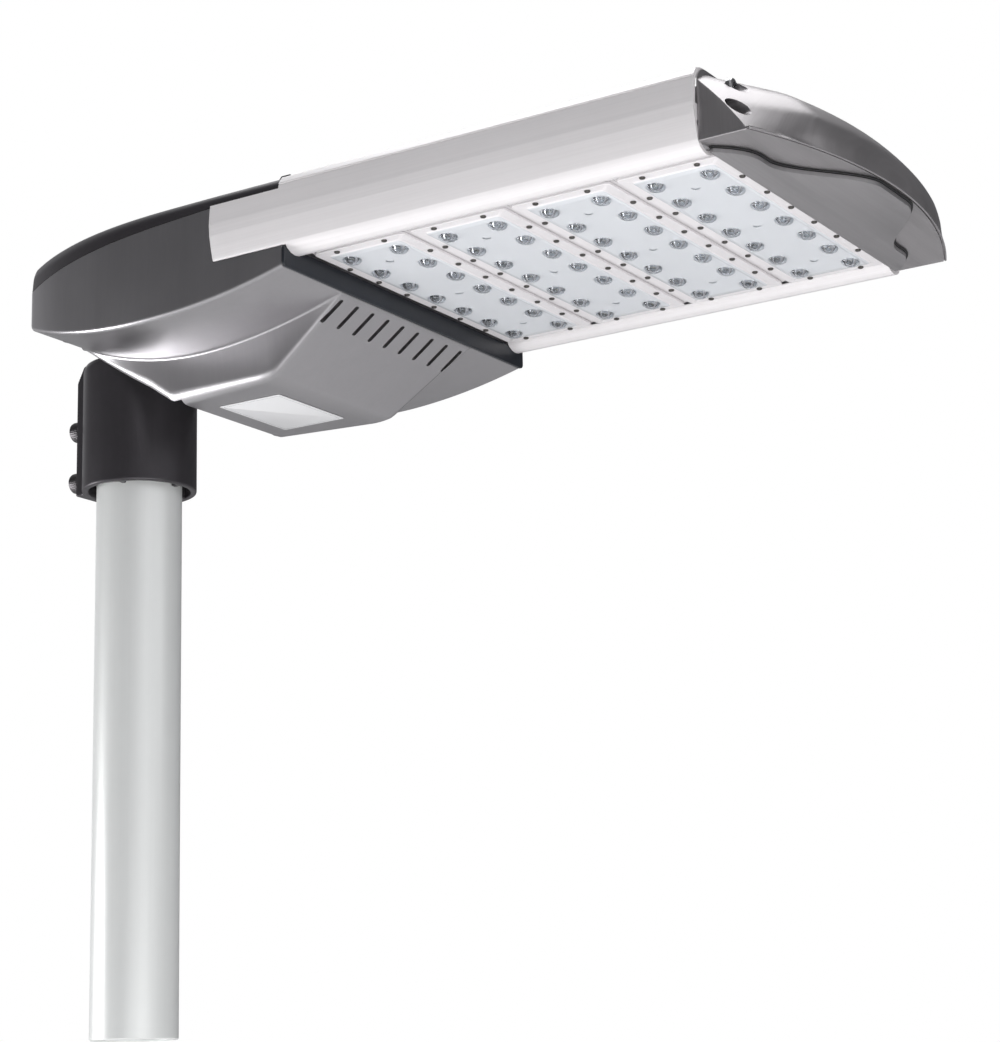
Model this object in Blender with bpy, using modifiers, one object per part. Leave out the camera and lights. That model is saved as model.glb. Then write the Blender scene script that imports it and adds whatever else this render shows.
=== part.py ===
"""LED street lamp head on the top section of its post.

Metres, +Z up. The origin is the centre of the post's lower end. +X runs from the post to
the lamp's tip, +Y to the lamp's left. Sizes of the head are given in its own frame: X from
the post's axis, Z from the plane of the lens tips, which lies LENS_PLANE above the origin.
"""
import math

import bmesh
import bpy
from mathutils import Matrix, Vector

MM = 0.001
GAP = 0.3 * MM                      # running gap between two pieces that touch

# Post and clamp collar
LENS_PLANE = 475.0 * MM
POST_RADIUS = 30.15 * MM
POST_WALL = 3.6 * MM
POST_TOP = -14.0 * MM
COLLAR_CLEARANCE = 5.85 * MM        # room round the post, bridged by the centring ribs
COLLAR_WALL = 4.5 * MM
COLLAR_BORE = POST_RADIUS + COLLAR_CLEARANCE
COLLAR_RADIUS = COLLAR_BORE + COLLAR_WALL
COLLAR_BOTTOM = -93.5 * MM
COLLAR_TOP = 0.0 * MM
COLLAR_CROWN = 10.0 * MM
CENTRING_RIB_WIDTH = 4.0 * MM
PAD_FACE = COLLAR_RADIUS + 2.0 * MM
PAD_HALF_WIDTH = 19.5 * MM
PAD_TOP = -9.0 * MM
PAD_SLOPE = 12.0 * MM
CLAMP_BOLT_RADIUS = 4.0 * MM
CLAMP_HEAD_RADIUS = 7.4 * MM
CLAMP_HEAD_HEIGHT = 8.0 * MM
CLAMP_SOCKET_RADIUS = 3.0 * MM
CLAMP_SOCKET_DEPTH = 4.0 * MM
CLAMP_BOLT_SPREAD = 11.8 * MM
CLAMP_BOLT_HEIGHTS = (-43.5 * MM, -81.5 * MM)
CABLE_HOLE_RADIUS = 7.0 * MM

# Tilting pivot between collar and head
PIVOT_X = 16.0 * MM
PIVOT_Z = 18.0 * MM
DRUM_RADIUS = 18.0 * MM
DRUM_HALF_LENGTH = COLLAR_RADIUS + 2.5 * MM
PIVOT_BOLT_RADIUS = 6.0 * MM
PIVOT_HEAD_RADIUS = 10.5 * MM
PIVOT_HEAD_HEIGHT = 7.5 * MM
PIVOT_THREAD_SPARE = 3.0 * MM
PIVOT_BOSS_HEIGHT = 1.5 * MM

# Rear housing
HOUSING_REAR = -11.0 * MM
HOUSING_FRONT = 234.0 * MM
HOUSING_HALF_WIDTH = 140.0 * MM
HOUSING_REAR_HALF_WIDTH = 103.0 * MM
HOUSING_STRAIGHT = HOUSING_FRONT - 84.0 * MM    # in front of this X the side walls are parallel
HOUSING_WALL = 3.0 * MM
FLOOR_LOW = -25.0 * MM
FLOOR_LOW_X = 118.0 * MM
FLOOR_REAR_RISE = 29.0 * MM
FLOOR_FRONT_RISE = 15.0 * MM
COVER_TOP = 52.0 * MM
SEAM_REAR = COVER_TOP - 21.5 * MM
SEAM_FRONT = COVER_TOP - 11.0 * MM
RIM_WIDTH = 8.0 * MM
RIM_HEIGHT = 5.0 * MM
FRONT_RIM_WIDTH = 12.0 * MM
SCREW_POST_RADIUS = 5.3 * MM
SCREW_POST_DEPTH = 14.0 * MM
STATIONS = 18                       # cross-sections along the housing

# Keel under the rear housing
KEEL_REAR = 78.0 * MM
KEEL_BOTTOM = -55.0 * MM
KEEL_FLAT_END = HOUSING_FRONT - 76.0 * MM
BAY_WALL = 4.0 * MM
BAY_CLEARANCE = 7.5 * MM            # room on each side of the collar
KEEL_HALF_REAR = COLLAR_RADIUS + BAY_CLEARANCE + BAY_WALL
KEEL_HALF_FRONT = 77.0 * MM
KEEL_DRAFT = 2.0 * MM
KEEL_BEND = 0.2                     # share of the front slope taken by its bend
KEEL_BEND_RISE = 0.048              # share of the rise reached at the bend's end
BULKHEAD_FRONT = 90.0 * MM
BULKHEAD_THICKNESS = 4.0 * MM
VENT_COUNT = 9
VENT_PITCH = 17.5 * MM
VENT_WIDTH = 3.6 * MM
VENT_START = HOUSING_FRONT - 21.0 * MM
VENT_END = HOUSING_FRONT - 4.0 * MM
VENT_CUT = 14.0 * MM

# Top cover and its hinge
COVER_WALL = 2.5 * MM
COVER_SHOULDER = 10.0 * MM
COVER_FRONT = HOUSING_FRONT - 2 * GAP
COVER_LIP_LENGTH = 7.0 * MM
COVER_LIP_HEIGHT = 2.5 * MM
HINGE_X = HOUSING_FRONT + 4.5 * MM
HINGE_Z = COVER_TOP - 2.0 * MM
HINGE_PIN_RADIUS = 1.8 * MM
HINGE_EYE_RADIUS = 3.5 * MM
HINGE_INNER = 74.0 * MM
HINGE_LUG_WIDTH = 6.0 * MM
COVER_SCREW_X = 12.0 * MM
COVER_SCREW_Y = HOUSING_REAR_HALF_WIDTH - 15.0 * MM
COVER_SCREW_RADIUS = 2.4 * MM
COVER_SCREW_HEAD = 4.6 * MM
COVER_SCREW_GRIP = 3.0 * MM
HINGE_PIN_HEAD_RADIUS = 2.7 * MM
HINGE_PIN_HEAD = 2.2 * MM
SEAL_RADIUS = 1.5 * MM
SEAL_INSET = 5.3 * MM               # from the rim's outer edge to the cord's middle

# Front bar
BAR_FRONT = HOUSING_FRONT + 2.6 * MM
BAR_TOP = 3.5 * MM
BAR_BOTTOM = -10.0 * MM
BAR_HALF_WIDTH = HOUSING_HALF_WIDTH + 1.0 * MM
BAR_CORNER = 3.0 * MM

# LED modules
MODULE_COUNT = 4
MODULE_PITCH = 73.58 * MM
MODULE_LENGTH = MODULE_PITCH - 4.58 * MM
MODULE_HALF_WIDTH = HOUSING_HALF_WIDTH - 24.0 * MM
MODULE_START = BAR_FRONT + 3.93 * MM
MODULES_END = MODULE_START + (MODULE_COUNT - 1) * MODULE_PITCH + MODULE_LENGTH
LENS_ROWS = 2
LENS_COLUMNS = 7
LENS_ROW_PITCH = MODULE_LENGTH - 2 * 16.385 * MM
LENS_COLUMN_PITCH = 2 * (MODULE_HALF_WIDTH - 19.52 * MM) / (LENS_COLUMNS - 1)
LENS_RADIUS = 6.8 * MM
LENS_HEIGHT = 3.2 * MM
PLATE_BOTTOM = 1.7 * MM
PLATE_THICKNESS = 2.8 * MM
GASKET_WIDTH = 4.0 * MM
BOARD_THICKNESS = 1.6 * MM
CHIP_SIZE = 3.6 * MM
CHIP_HEIGHT = 1.0 * MM

# Side rails and heat sink
RAIL_START = HOUSING_FRONT - 55.0 * MM  # the rails lap over the housing; its seam is level here
RAIL_END = MODULES_END - 0.77 * MM
RAIL_WALL = 2.4 * MM
RAIL_HALF_WIDTH = HOUSING_HALF_WIDTH + 4.3 * MM
RAIL_TOP = COVER_TOP - 0.4 * MM
RAIL_LIP_BOTTOM = -0.8 * MM
RAIL_LIP_INNER = MODULE_HALF_WIDTH + 4.0 * MM
RAIL_PORT_INNER = RAIL_HALF_WIDTH - 16.3 * MM
RAIL_PORT_HALF_HEIGHT = 5.0 * MM
RAIL_SEAT = RAIL_HALF_WIDTH - 4.1 * MM - RAIL_WALL - GAP    # half width of the housing under the rails
SINK_BASE_BOTTOM = 8.5 * MM
SINK_BASE_THICKNESS = 6.0 * MM
SINK_START = BAR_FRONT + 0.4 * MM
FIN_START = HINGE_X + 7.5 * MM
FIN_TOP = COVER_TOP - 6.0 * MM
FIN_THICKNESS = 2.0 * MM
FIN_COUNT = 19
EDGE_FIN_THICKNESS = 9.0 * MM
EDGE_FIN_Y = RAIL_HALF_WIDTH - 24.8 * MM

# End cap and its wavy lower plate
CAP_HALF_WIDTH = HOUSING_HALF_WIDTH
CAP_NOSE = RAIL_END + 62.5 * MM
CAP_NOSE_RADIUS = 350.0 * MM
CAP_BOTTOM = 4.3 * MM
CAP_TOP = COVER_TOP - 1.0 * MM
CAP_WALL = 2.6 * MM
CAP_STATIONS = 20
CAP_CROWN = ((0.0, 7.7), (1.8, 16.0), (4.5, 22.7), (11.0, 31.0), (17.0, 36.7), (25.0, 41.4), (36.0, 45.0))
CAP_CROWN_END = 47.0 * MM           # the crown's points are mm back from the nose edge and mm up
CAP_SCREWS = ((RAIL_PORT_INNER + 5.0 * MM, 22.0 * MM), (EDGE_FIN_Y, FIN_TOP - 4.0 * MM))
CAP_SCREW_RADIUS = 2.2 * MM
CAP_SCREW_HEAD = 4.6 * MM
CAP_SCREW_SEAT = RAIL_END + 10.5 * MM
CAP_SCREW_HEAD_HEIGHT = 3.6 * MM
CAP_SCREW_LENGTH = 26.0 * MM
CAP_WELL_RADIUS = CAP_SCREW_HEAD + 1.4 * MM
CAP_BOSS_RADIUS = CAP_WELL_RADIUS + 2.7 * MM
LOWER_PLATE_BOTTOM = 0.2 * MM
LOWER_PLATE_THICKNESS = 2.7 * MM
LOWER_PLATE_SHOULDER = RAIL_END + 19.5 * MM
LOWER_PLATE_NOSE = CAP_NOSE - 4.0 * MM
LOWER_PLATE_HALF_WIDTH = CAP_HALF_WIDTH - 11.5 * MM
WAVE_INNER = 18.0 * MM              # the wave falls from its bulge to its shoulders over WAVE_FALL
WAVE_FALL = 74.0 * MM
WAVE_CORNER = 28.5 * MM
WAVE_CORNER_DROP = 16.0 * MM

# Electrical parts in the housing
TRAY_BOTTOM = -8.0 * MM
TRAY_THICKNESS = 1.5 * MM
TRAY_REAR = 96.0 * MM
TRAY_FRONT = HOUSING_FRONT - 12.0 * MM
TRAY_HALF_WIDTH = HOUSING_HALF_WIDTH - 24.0 * MM
TRAY_SCREW_INSET = 9.0 * MM
TRAY_SCREW_RADIUS = 2.0 * MM
TRAY_SCREW_HEAD = 3.8 * MM
TRAY_SCREW_HEAD_HEIGHT = 2.4 * MM
TRAY_SCREW_DEPTH = 3.0 * MM
DRIVER_LENGTH = 196.0 * MM
DRIVER_WIDTH = 66.0 * MM
DRIVER_HEIGHT = 36.0 * MM
DRIVER_X = TRAY_FRONT - 46.0 * MM
DRIVER_EDGE = 2.5 * MM
TERMINAL_FRONT = DRIVER_X - DRIVER_WIDTH / 2 - 14.0 * MM
TERMINAL_DEPTH = 22.0 * MM
TERMINAL_HEIGHT = 17.0 * MM
TERMINAL_ENDS = (-62.0 * MM, -4.0 * MM)
TERMINAL_WAYS = 5
TERMINAL_PITCH = 10.0 * MM
TERMINAL_ENTRY_RADIUS = 2.6 * MM
TERMINAL_ENTRY_HEIGHT = 6.0 * MM
TERMINAL_ENTRY_DEPTH = 6.0 * MM
SURGE_FRONT = DRIVER_X - DRIVER_WIDTH / 2 - 10.0 * MM
SURGE_DEPTH = 30.0 * MM
SURGE_HEIGHT = 26.0 * MM
SURGE_ENDS = (34.0 * MM, 84.0 * MM)
GLAND_Z = COVER_TOP - 38.0 * MM
GLAND_RADIUS = 9.0 * MM
GLAND_BORE = 4.5 * MM
GLAND_HEX_RADIUS = 13.0 * MM
GLAND_HEX_HEIGHT = 6.0 * MM
GLAND_TIP = BULKHEAD_FRONT - BULKHEAD_THICKNESS - 16.0 * MM
GLAND_THREAD_END = BULKHEAD_FRONT + 8.0 * MM
GLAND_NUT_HEIGHT = 4.0 * MM
LABEL_LENGTH = 51.0 * MM
LABEL_WIDTH = 74.0 * MM
LABEL_THICKNESS = 0.5 * MM
LABEL_CENTRE_X = 127.5 * MM


def clear_scene():
    for thing in list(bpy.data.objects):
        bpy.data.objects.remove(thing, do_unlink=True)


def new_collection(name):
    group = bpy.data.collections.new(name)
    bpy.context.scene.collection.children.link(group)
    return group


def new_material(name, colour, roughness, metallic):
    material = bpy.data.materials.new(name)
    material.use_nodes = True
    shader = material.node_tree.nodes["Principled BSDF"]
    shader.inputs["Base Color"].default_value = (*colour, 1.0)
    shader.inputs["Roughness"].default_value = roughness
    shader.inputs["Metallic"].default_value = metallic
    return material


clear_scene()
PARTS = new_collection("street_lamp")
CUTTERS = new_collection("cutters")


# ---------------------------------------------------------------- shapes

def mesh_object(name, shape):
    """A new object from a bmesh; it waits among the cutters until place() puts it in the part."""
    bmesh.ops.recalc_face_normals(shape, faces=shape.faces)
    mesh = bpy.data.meshes.new(name)
    shape.to_mesh(mesh)
    shape.free()
    thing = bpy.data.objects.new(name, mesh)
    CUTTERS.objects.link(thing)
    thing.hide_render = True
    thing.display_type = "WIRE"
    return thing


def box(name, x, y, z):
    """A box between the limits x, y and z, each a pair."""
    size = Vector((x[1] - x[0], y[1] - y[0], z[1] - z[0]))
    centre = Vector((x[0] + x[1], y[0] + y[1], z[0] + z[1])) / 2
    shape = bmesh.new()
    matrix = Matrix.Translation(centre) @ Matrix.Diagonal((*size, 1.0))
    bmesh.ops.create_cube(shape, size=1.0, matrix=matrix)
    return mesh_object(name, shape)


def rods(name, ends, radius, segments=24, tip_radius=None):
    """Round bars, one for each pair of end points, as one object."""
    shape = bmesh.new()
    for start, end in ends:
        line = Vector(end) - Vector(start)
        turn = line.to_track_quat("Z", "Y").to_matrix().to_4x4()
        middle = Matrix.Translation((Vector(start) + Vector(end)) / 2)
        bmesh.ops.create_cone(shape, cap_ends=True, segments=segments, radius1=radius,
                              radius2=radius if tip_radius is None else tip_radius,
                              depth=line.length, matrix=middle @ turn)
    return mesh_object(name, shape)


def prism(name, outlines, plane, low, high):
    """Flat outlines in the plane XY, XZ or YZ, made thick from low to high across it."""
    axes = {"XY": ((1, 0, 0), (0, 1, 0), (0, 0, 1)),
            "XZ": ((1, 0, 0), (0, 0, 1), (0, -1, 0)),
            "YZ": ((0, 1, 0), (0, 0, 1), (1, 0, 0))}[plane]
    across = {"XY": 2, "XZ": 1, "YZ": 0}[plane]
    curve = bpy.data.curves.new(name, "CURVE")
    curve.dimensions = "2D"
    curve.fill_mode = "BOTH"
    curve.extrude = (high - low) / 2
    for outline in outlines:
        spline = curve.splines.new("POLY")
        spline.points.add(len(outline) - 1)
        for point, (u, v) in zip(spline.points, outline):
            point.co = (u, v, 0.0, 1.0)
        spline.use_cyclic_u = True
    drawing = bpy.data.objects.new(name + "_outline", curve)
    CUTTERS.objects.link(drawing)
    graph = bpy.context.evaluated_depsgraph_get()
    mesh = bpy.data.meshes.new_from_object(drawing.evaluated_get(graph))
    bpy.data.objects.remove(drawing, do_unlink=True)
    turn = Matrix(axes).transposed().to_4x4()
    turn.translation[across] = (low + high) / 2
    mesh.transform(turn)
    shape = bmesh.new()
    shape.from_mesh(mesh)
    bpy.data.meshes.remove(mesh)
    bmesh.ops.remove_doubles(shape, verts=shape.verts, dist=1e-6)
    return mesh_object(name, shape)


def loft(name, sections):
    """A skin over unlike closed sections with equal numbers of points, capped at both ends."""
    shape = bmesh.new()
    rings = [[shape.verts.new(point) for point in section] for section in sections]
    count = len(sections[0])
    for near, far in zip(rings, rings[1:]):
        for i in range(count):
            j = (i + 1) % count
            shape.faces.new((near[i], near[j], far[j], far[i]))
    shape.faces.new(rings[0])
    shape.faces.new(list(reversed(rings[-1])))
    return mesh_object(name, shape)


def turned(name, profile, segments=48):
    """A piece turned about Z from a closed profile of (radius, height) points."""
    mesh = bpy.data.meshes.new(name)
    edges = [(i, (i + 1) % len(profile)) for i in range(len(profile))]
    mesh.from_pydata([(r, 0.0, z) for r, z in profile], edges, [])
    thing = bpy.data.objects.new(name, mesh)
    CUTTERS.objects.link(thing)
    thing.hide_render = True
    thing.display_type = "WIRE"
    screw = thing.modifiers.new("turn", "SCREW")
    screw.steps = segments
    screw.render_steps = segments
    screw.use_merge_vertices = True
    screw.merge_threshold = 0.00005
    return thing


def combine(thing, other, operation):
    """Join, cut or trim thing with other, which stays among the cutters."""
    step = thing.modifiers.new(other.name, "BOOLEAN")
    step.solver = "EXACT"
    step.operation = operation
    step.object = other


def join(thing, *others):
    for other in others:
        combine(thing, other, "UNION")


def cut(thing, *others):
    for other in others:
        combine(thing, other, "DIFFERENCE")


def rounded_rectangle(centre, size, radius, steps=3):
    """Corner-rounded outline, counter-clockwise."""
    points = []
    for corner, (sx, sy) in enumerate(((1, 1), (-1, 1), (-1, -1), (1, -1))):
        cx = centre[0] + sx * (size[0] / 2 - radius)
        cy = centre[1] + sy * (size[1] / 2 - radius)
        for step in range(steps + 1):
            angle = math.pi / 2 * (corner + step / steps)
            points.append((cx + radius * math.cos(angle), cy + radius * math.sin(angle)))
    return points


# ---------------------------------------------------------------- frames and placing

def new_axis(name, location, parent=None):
    """An empty that marks a joint's axis; the pieces that turn with it are its children."""
    axis = bpy.data.objects.new(name, None)
    PARTS.objects.link(axis)
    axis.location = location
    if parent is not None:
        axis.parent = parent
        axis.matrix_parent_inverse = Matrix.Translation(parent.location).inverted()
    return axis


HEAD_AXIS = new_axis("head_tilt_axis", (PIVOT_X, 0.0, LENS_PLANE + PIVOT_Z))
COVER_AXIS = new_axis("cover_hinge_axis", (HINGE_X, 0.0, LENS_PLANE + HINGE_Z), HEAD_AXIS)


def place(thing, material, axis=None):
    """Move a finished shape into the part, at the head's height, on the body that carries it."""
    CUTTERS.objects.unlink(thing)
    PARTS.objects.link(thing)
    thing.hide_render = False
    thing.display_type = "TEXTURED"
    thing.data.materials.clear()
    thing.data.materials.append(material)
    thing.data.shade_smooth()
    thing.data.set_sharp_from_angle(angle=math.radians(35))
    thing.location = (0.0, 0.0, LENS_PLANE)
    if axis is not None:
        thing.parent = axis
        world = Vector(axis.location)
        thing.matrix_parent_inverse = Matrix.Translation(world).inverted()


def lift(*cutters):
    """Set cutters at the head's height, where the pieces that they shape are placed."""
    for cutter in cutters:
        cutter.location = (0.0, 0.0, LENS_PLANE)


CAST_LIGHT = new_material("satin_cast_aluminium", (0.36, 0.36, 0.37), 0.42, 0.7)
CAST_DARK = new_material("graphite_coated_casting", (0.06, 0.055, 0.06), 0.45, 0.4)
EXTRUSION = new_material("brushed_anodised_aluminium", (0.72, 0.70, 0.70), 0.35, 0.85)
POST_METAL = new_material("satin_post_tube", (0.70, 0.72, 0.71), 0.38, 0.8)
STEEL = new_material("stainless_steel", (0.55, 0.55, 0.56), 0.3, 1.0)
SHEET_STEEL = new_material("zinc_plated_sheet", (0.60, 0.61, 0.60), 0.4, 0.9)
RUBBER = new_material("black_rubber", (0.015, 0.015, 0.016), 0.8, 0.0)
SILICONE = new_material("pale_silicone", (0.75, 0.78, 0.80), 0.45, 0.0)
DARK_PLASTIC = new_material("slate_plastic_bar", (0.025, 0.03, 0.038), 0.5, 0.0)
CLEAR_PLASTIC = new_material("clear_lens_plastic", (0.80, 0.85, 0.90), 0.12, 0.0)
BOARD_WHITE = new_material("white_circuit_board", (0.78, 0.80, 0.82), 0.5, 0.0)
DRIVER_COAT = new_material("driver_case_paint", (0.55, 0.56, 0.58), 0.5, 0.3)
TERMINAL_GREY = new_material("terminal_plastic", (0.62, 0.62, 0.58), 0.55, 0.0)
SURGE_ORANGE = new_material("surge_unit_plastic", (0.55, 0.12, 0.03), 0.5, 0.0)
GLAND_BLACK = new_material("black_nylon", (0.02, 0.02, 0.02), 0.55, 0.0)
LABEL_WHITE = new_material("bare_label_foil", (0.85, 0.85, 0.86), 0.35, 0.1)


# ---------------------------------------------------------------- housing outline rules

def housing_half_width(x):
    """Half width of the rear housing: parallel in front, drawn in towards the rear end."""
    share = max(0.0, (HOUSING_STRAIGHT - x) / (HOUSING_STRAIGHT - HOUSING_REAR))
    return HOUSING_HALF_WIDTH - (HOUSING_HALF_WIDTH - HOUSING_REAR_HALF_WIDTH) * share ** 2.5


def floor_height(x):
    """Underside of the housing beside the keel: it sags between its two ends."""
    if x < FLOOR_LOW_X:
        share = (FLOOR_LOW_X - x) / (FLOOR_LOW_X - HOUSING_REAR)
        return FLOOR_LOW + FLOOR_REAR_RISE * share ** 2
    share = (x - FLOOR_LOW_X) / (HOUSING_FRONT - FLOOR_LOW_X)
    return FLOOR_LOW + FLOOR_FRONT_RISE * share ** 2


def seam_height(x):
    """Height of the joint between lower housing and cover: it climbs, then runs level."""
    share = min(1.0, (x - HOUSING_REAR) / (RAIL_START - HOUSING_REAR))
    return SEAM_REAR + (SEAM_FRONT - SEAM_REAR) * share


def keel_half_width(x):
    share = (x - HOUSING_REAR) / (HOUSING_FRONT - HOUSING_REAR)
    return KEEL_HALF_REAR + (KEEL_HALF_FRONT - KEEL_HALF_REAR) * share


def keel_depth(x):
    """Bottom of the keel: flat, then straight up to the front bar."""
    if x <= KEEL_FLAT_END:
        return KEEL_BOTTOM
    share = (x - KEEL_FLAT_END) / (HOUSING_FRONT - KEEL_FLAT_END)
    if share < KEEL_BEND:
        rise = KEEL_BEND_RISE * (share / KEEL_BEND) ** 2
    else:
        rise = KEEL_BEND_RISE + (1 - KEEL_BEND_RISE) * (share - KEEL_BEND) / (1 - KEEL_BEND)
    return KEEL_BOTTOM + (floor_height(HOUSING_FRONT) - KEEL_BOTTOM) * rise


def stations(start, end, count):
    return [start + (end - start) * i / (count - 1) for i in range(count)]


def mirrored(half):
    """A closed section from the points of its +Y half, listed from the bottom to the top."""
    return half + [(x, -y, z) for x, y, z in reversed(half)]


# ---------------------------------------------------------------- post, collar and clamp bolts

def make_post():
    post = turned("post_tube", [(POST_RADIUS, POST_TOP), (POST_RADIUS, -LENS_PLANE),
                                (POST_RADIUS - POST_WALL, -LENS_PLANE), (POST_RADIUS - POST_WALL, POST_TOP)])
    place(post, POST_METAL)


def clamp_bolt_places():
    return [(side * CLAMP_BOLT_SPREAD, height) for height in CLAMP_BOLT_HEIGHTS for side in (-1, 1)]


def pivot_line(half_length):
    """Ends of a bar on the tilting axis."""
    return (PIVOT_X, -half_length, PIVOT_Z), (PIVOT_X, half_length, PIVOT_Z)


def make_collar():
    """Clamp collar with its bolt pad, centring ribs and the drum that the head tilts on."""
    collar = rods("spigot_collar", [((0, 0, COLLAR_BOTTOM), (0, 0, COLLAR_TOP))], COLLAR_RADIUS, 48)
    pad_outline = [(-PAD_FACE, COLLAR_BOTTOM), (-COLLAR_BORE * 0.7, COLLAR_BOTTOM),
                   (-COLLAR_BORE * 0.7, PAD_TOP + PAD_SLOPE - GAP), (-COLLAR_BORE, PAD_TOP + PAD_SLOPE - GAP),
                   (-PAD_FACE, PAD_TOP)]
    pad = prism("collar_pad", [pad_outline], "XZ", -PAD_HALF_WIDTH, PAD_HALF_WIDTH)
    neck = box("collar_neck", (PIVOT_X - DRUM_RADIUS, PIVOT_X + DRUM_RADIUS),
               (-DRUM_HALF_LENGTH * 0.8, DRUM_HALF_LENGTH * 0.8), (COLLAR_TOP - COLLAR_CROWN / 2, PIVOT_Z))
    neck_keep = rods("neck_limit", [((0, 0, COLLAR_TOP - COLLAR_CROWN), (0, 0, PIVOT_Z + DRUM_RADIUS))],
                     COLLAR_RADIUS - GAP, 48)
    combine(neck, neck_keep, "INTERSECT")
    drum = rods("collar_drum", [pivot_line(DRUM_HALF_LENGTH)], DRUM_RADIUS, 36)
    join(collar, pad, neck, drum)
    bore = rods("collar_bore", [((0, 0, COLLAR_BOTTOM * 2), (0, 0, COLLAR_TOP - COLLAR_CROWN))],
                COLLAR_BORE, 48)
    for index, angle in enumerate((-70, 0, 70)):
        rib = box("centring_rib_%d" % index, (POST_RADIUS + GAP, COLLAR_BORE + GAP),
                  (-CENTRING_RIB_WIDTH / 2, CENTRING_RIB_WIDTH / 2), (COLLAR_BOTTOM * 2.5, COLLAR_TOP))
        rib.data.transform(Matrix.Rotation(math.radians(angle), 4, "Z"))
        lift(rib)
        cut(bore, rib)
    bolt_holes = rods("clamp_bolt_holes", [((-PAD_FACE * 1.2, y, z), (-POST_RADIUS * 0.5, y, z))
                                           for y, z in clamp_bolt_places()], CLAMP_BOLT_RADIUS + GAP, 16)
    pivot_hole = rods("drum_hole", [pivot_line(DRUM_HALF_LENGTH * 1.2)], PIVOT_BOLT_RADIUS + GAP, 20)
    cable_x = -COLLAR_BORE * 0.6
    cable_hole = rods("cable_hole", [((cable_x, 0, COLLAR_TOP - 2 * COLLAR_CROWN),
                                      (cable_x, 0, COLLAR_TOP + COLLAR_CROWN))], CABLE_HOLE_RADIUS, 20)
    lift(pad, neck, neck_keep, drum, bore, bolt_holes, pivot_hole, cable_hole)
    cut(collar, bore, bolt_holes, pivot_hole, cable_hole)
    place(collar, CAST_DARK)


def make_clamp_bolts():
    """Cap-head bolts that press on the post through the pad."""
    head_end = -PAD_FACE - GAP - CLAMP_HEAD_HEIGHT
    for index, (y, z) in enumerate(clamp_bolt_places()):
        bolt = rods("clamp_bolt_%d" % (index + 1), [((head_end, y, z), (-PAD_FACE - GAP, y, z))],
                    CLAMP_HEAD_RADIUS * 0.86, 20, CLAMP_HEAD_RADIUS)
        inner_edge = abs(y) - CLAMP_BOLT_RADIUS
        post_surface = -math.sqrt(POST_RADIUS ** 2 - inner_edge ** 2)
        shank = rods("clamp_shank_%d" % index, [((-PAD_FACE - 2 * GAP, y, z), (post_surface - GAP, y, z))],
                     CLAMP_BOLT_RADIUS, 16)
        socket = rods("clamp_socket_%d" % index, [((head_end * 1.1, y, z),
                                                   (head_end + CLAMP_SOCKET_DEPTH, y, z))],
                      CLAMP_SOCKET_RADIUS, 6)
        lift(shank, socket)
        join(bolt, shank)
        cut(bolt, socket)
        place(bolt, STEEL)


def make_pivot_bolt():
    """Long bolt through the drum and the housing's bay walls, with its nut."""
    grip = pivot_boss_outer() + GAP
    bolt = rods("pivot_bolt", [((PIVOT_X, -grip - PIVOT_HEAD_HEIGHT, PIVOT_Z), (PIVOT_X, -grip, PIVOT_Z))],
                PIVOT_HEAD_RADIUS, 6)
    tip = grip + PIVOT_HEAD_HEIGHT + PIVOT_THREAD_SPARE
    shank = rods("pivot_shank", [((PIVOT_X, -grip - GAP, PIVOT_Z), (PIVOT_X, tip, PIVOT_Z))],
                 PIVOT_BOLT_RADIUS, 20)
    lift(shank)
    join(bolt, shank)
    place(bolt, STEEL, HEAD_AXIS)
    nut = rods("pivot_nut", [((PIVOT_X, grip, PIVOT_Z), (PIVOT_X, grip + PIVOT_HEAD_HEIGHT, PIVOT_Z))],
               PIVOT_HEAD_RADIUS, 6)
    hole = rods("nut_hole", [pivot_line(grip * 2)], PIVOT_BOLT_RADIUS + GAP, 20)
    lift(hole)
    cut(nut, hole)
    place(nut, STEEL, HEAD_AXIS)


# ---------------------------------------------------------------- lower housing

def pivot_boss_outer():
    """Outer face of the bay walls at the pivot, where the bolt's head and nut bear."""
    return keel_half_width(PIVOT_X + DRUM_RADIUS) + PIVOT_BOSS_HEIGHT


def housing_section(x, inset, top):
    """One cross-section of the housing body, without the keel."""
    wide = housing_half_width(x) - inset
    low = floor_height(x) + inset
    return mirrored([(x, wide * 0.5, low), (x, wide - 2 * MM, low), (x, wide, low + 3 * MM), (x, wide, top)])


def keel_section(x, inset):
    wide = keel_half_width(x) - inset
    low = keel_depth(x) + inset * 1.15
    return mirrored([(x, wide - KEEL_DRAFT - 3 * MM, low), (x, wide - KEEL_DRAFT, low + 3 * MM),
                     (x, wide, floor_height(x) + inset + 4 * MM)])


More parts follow.
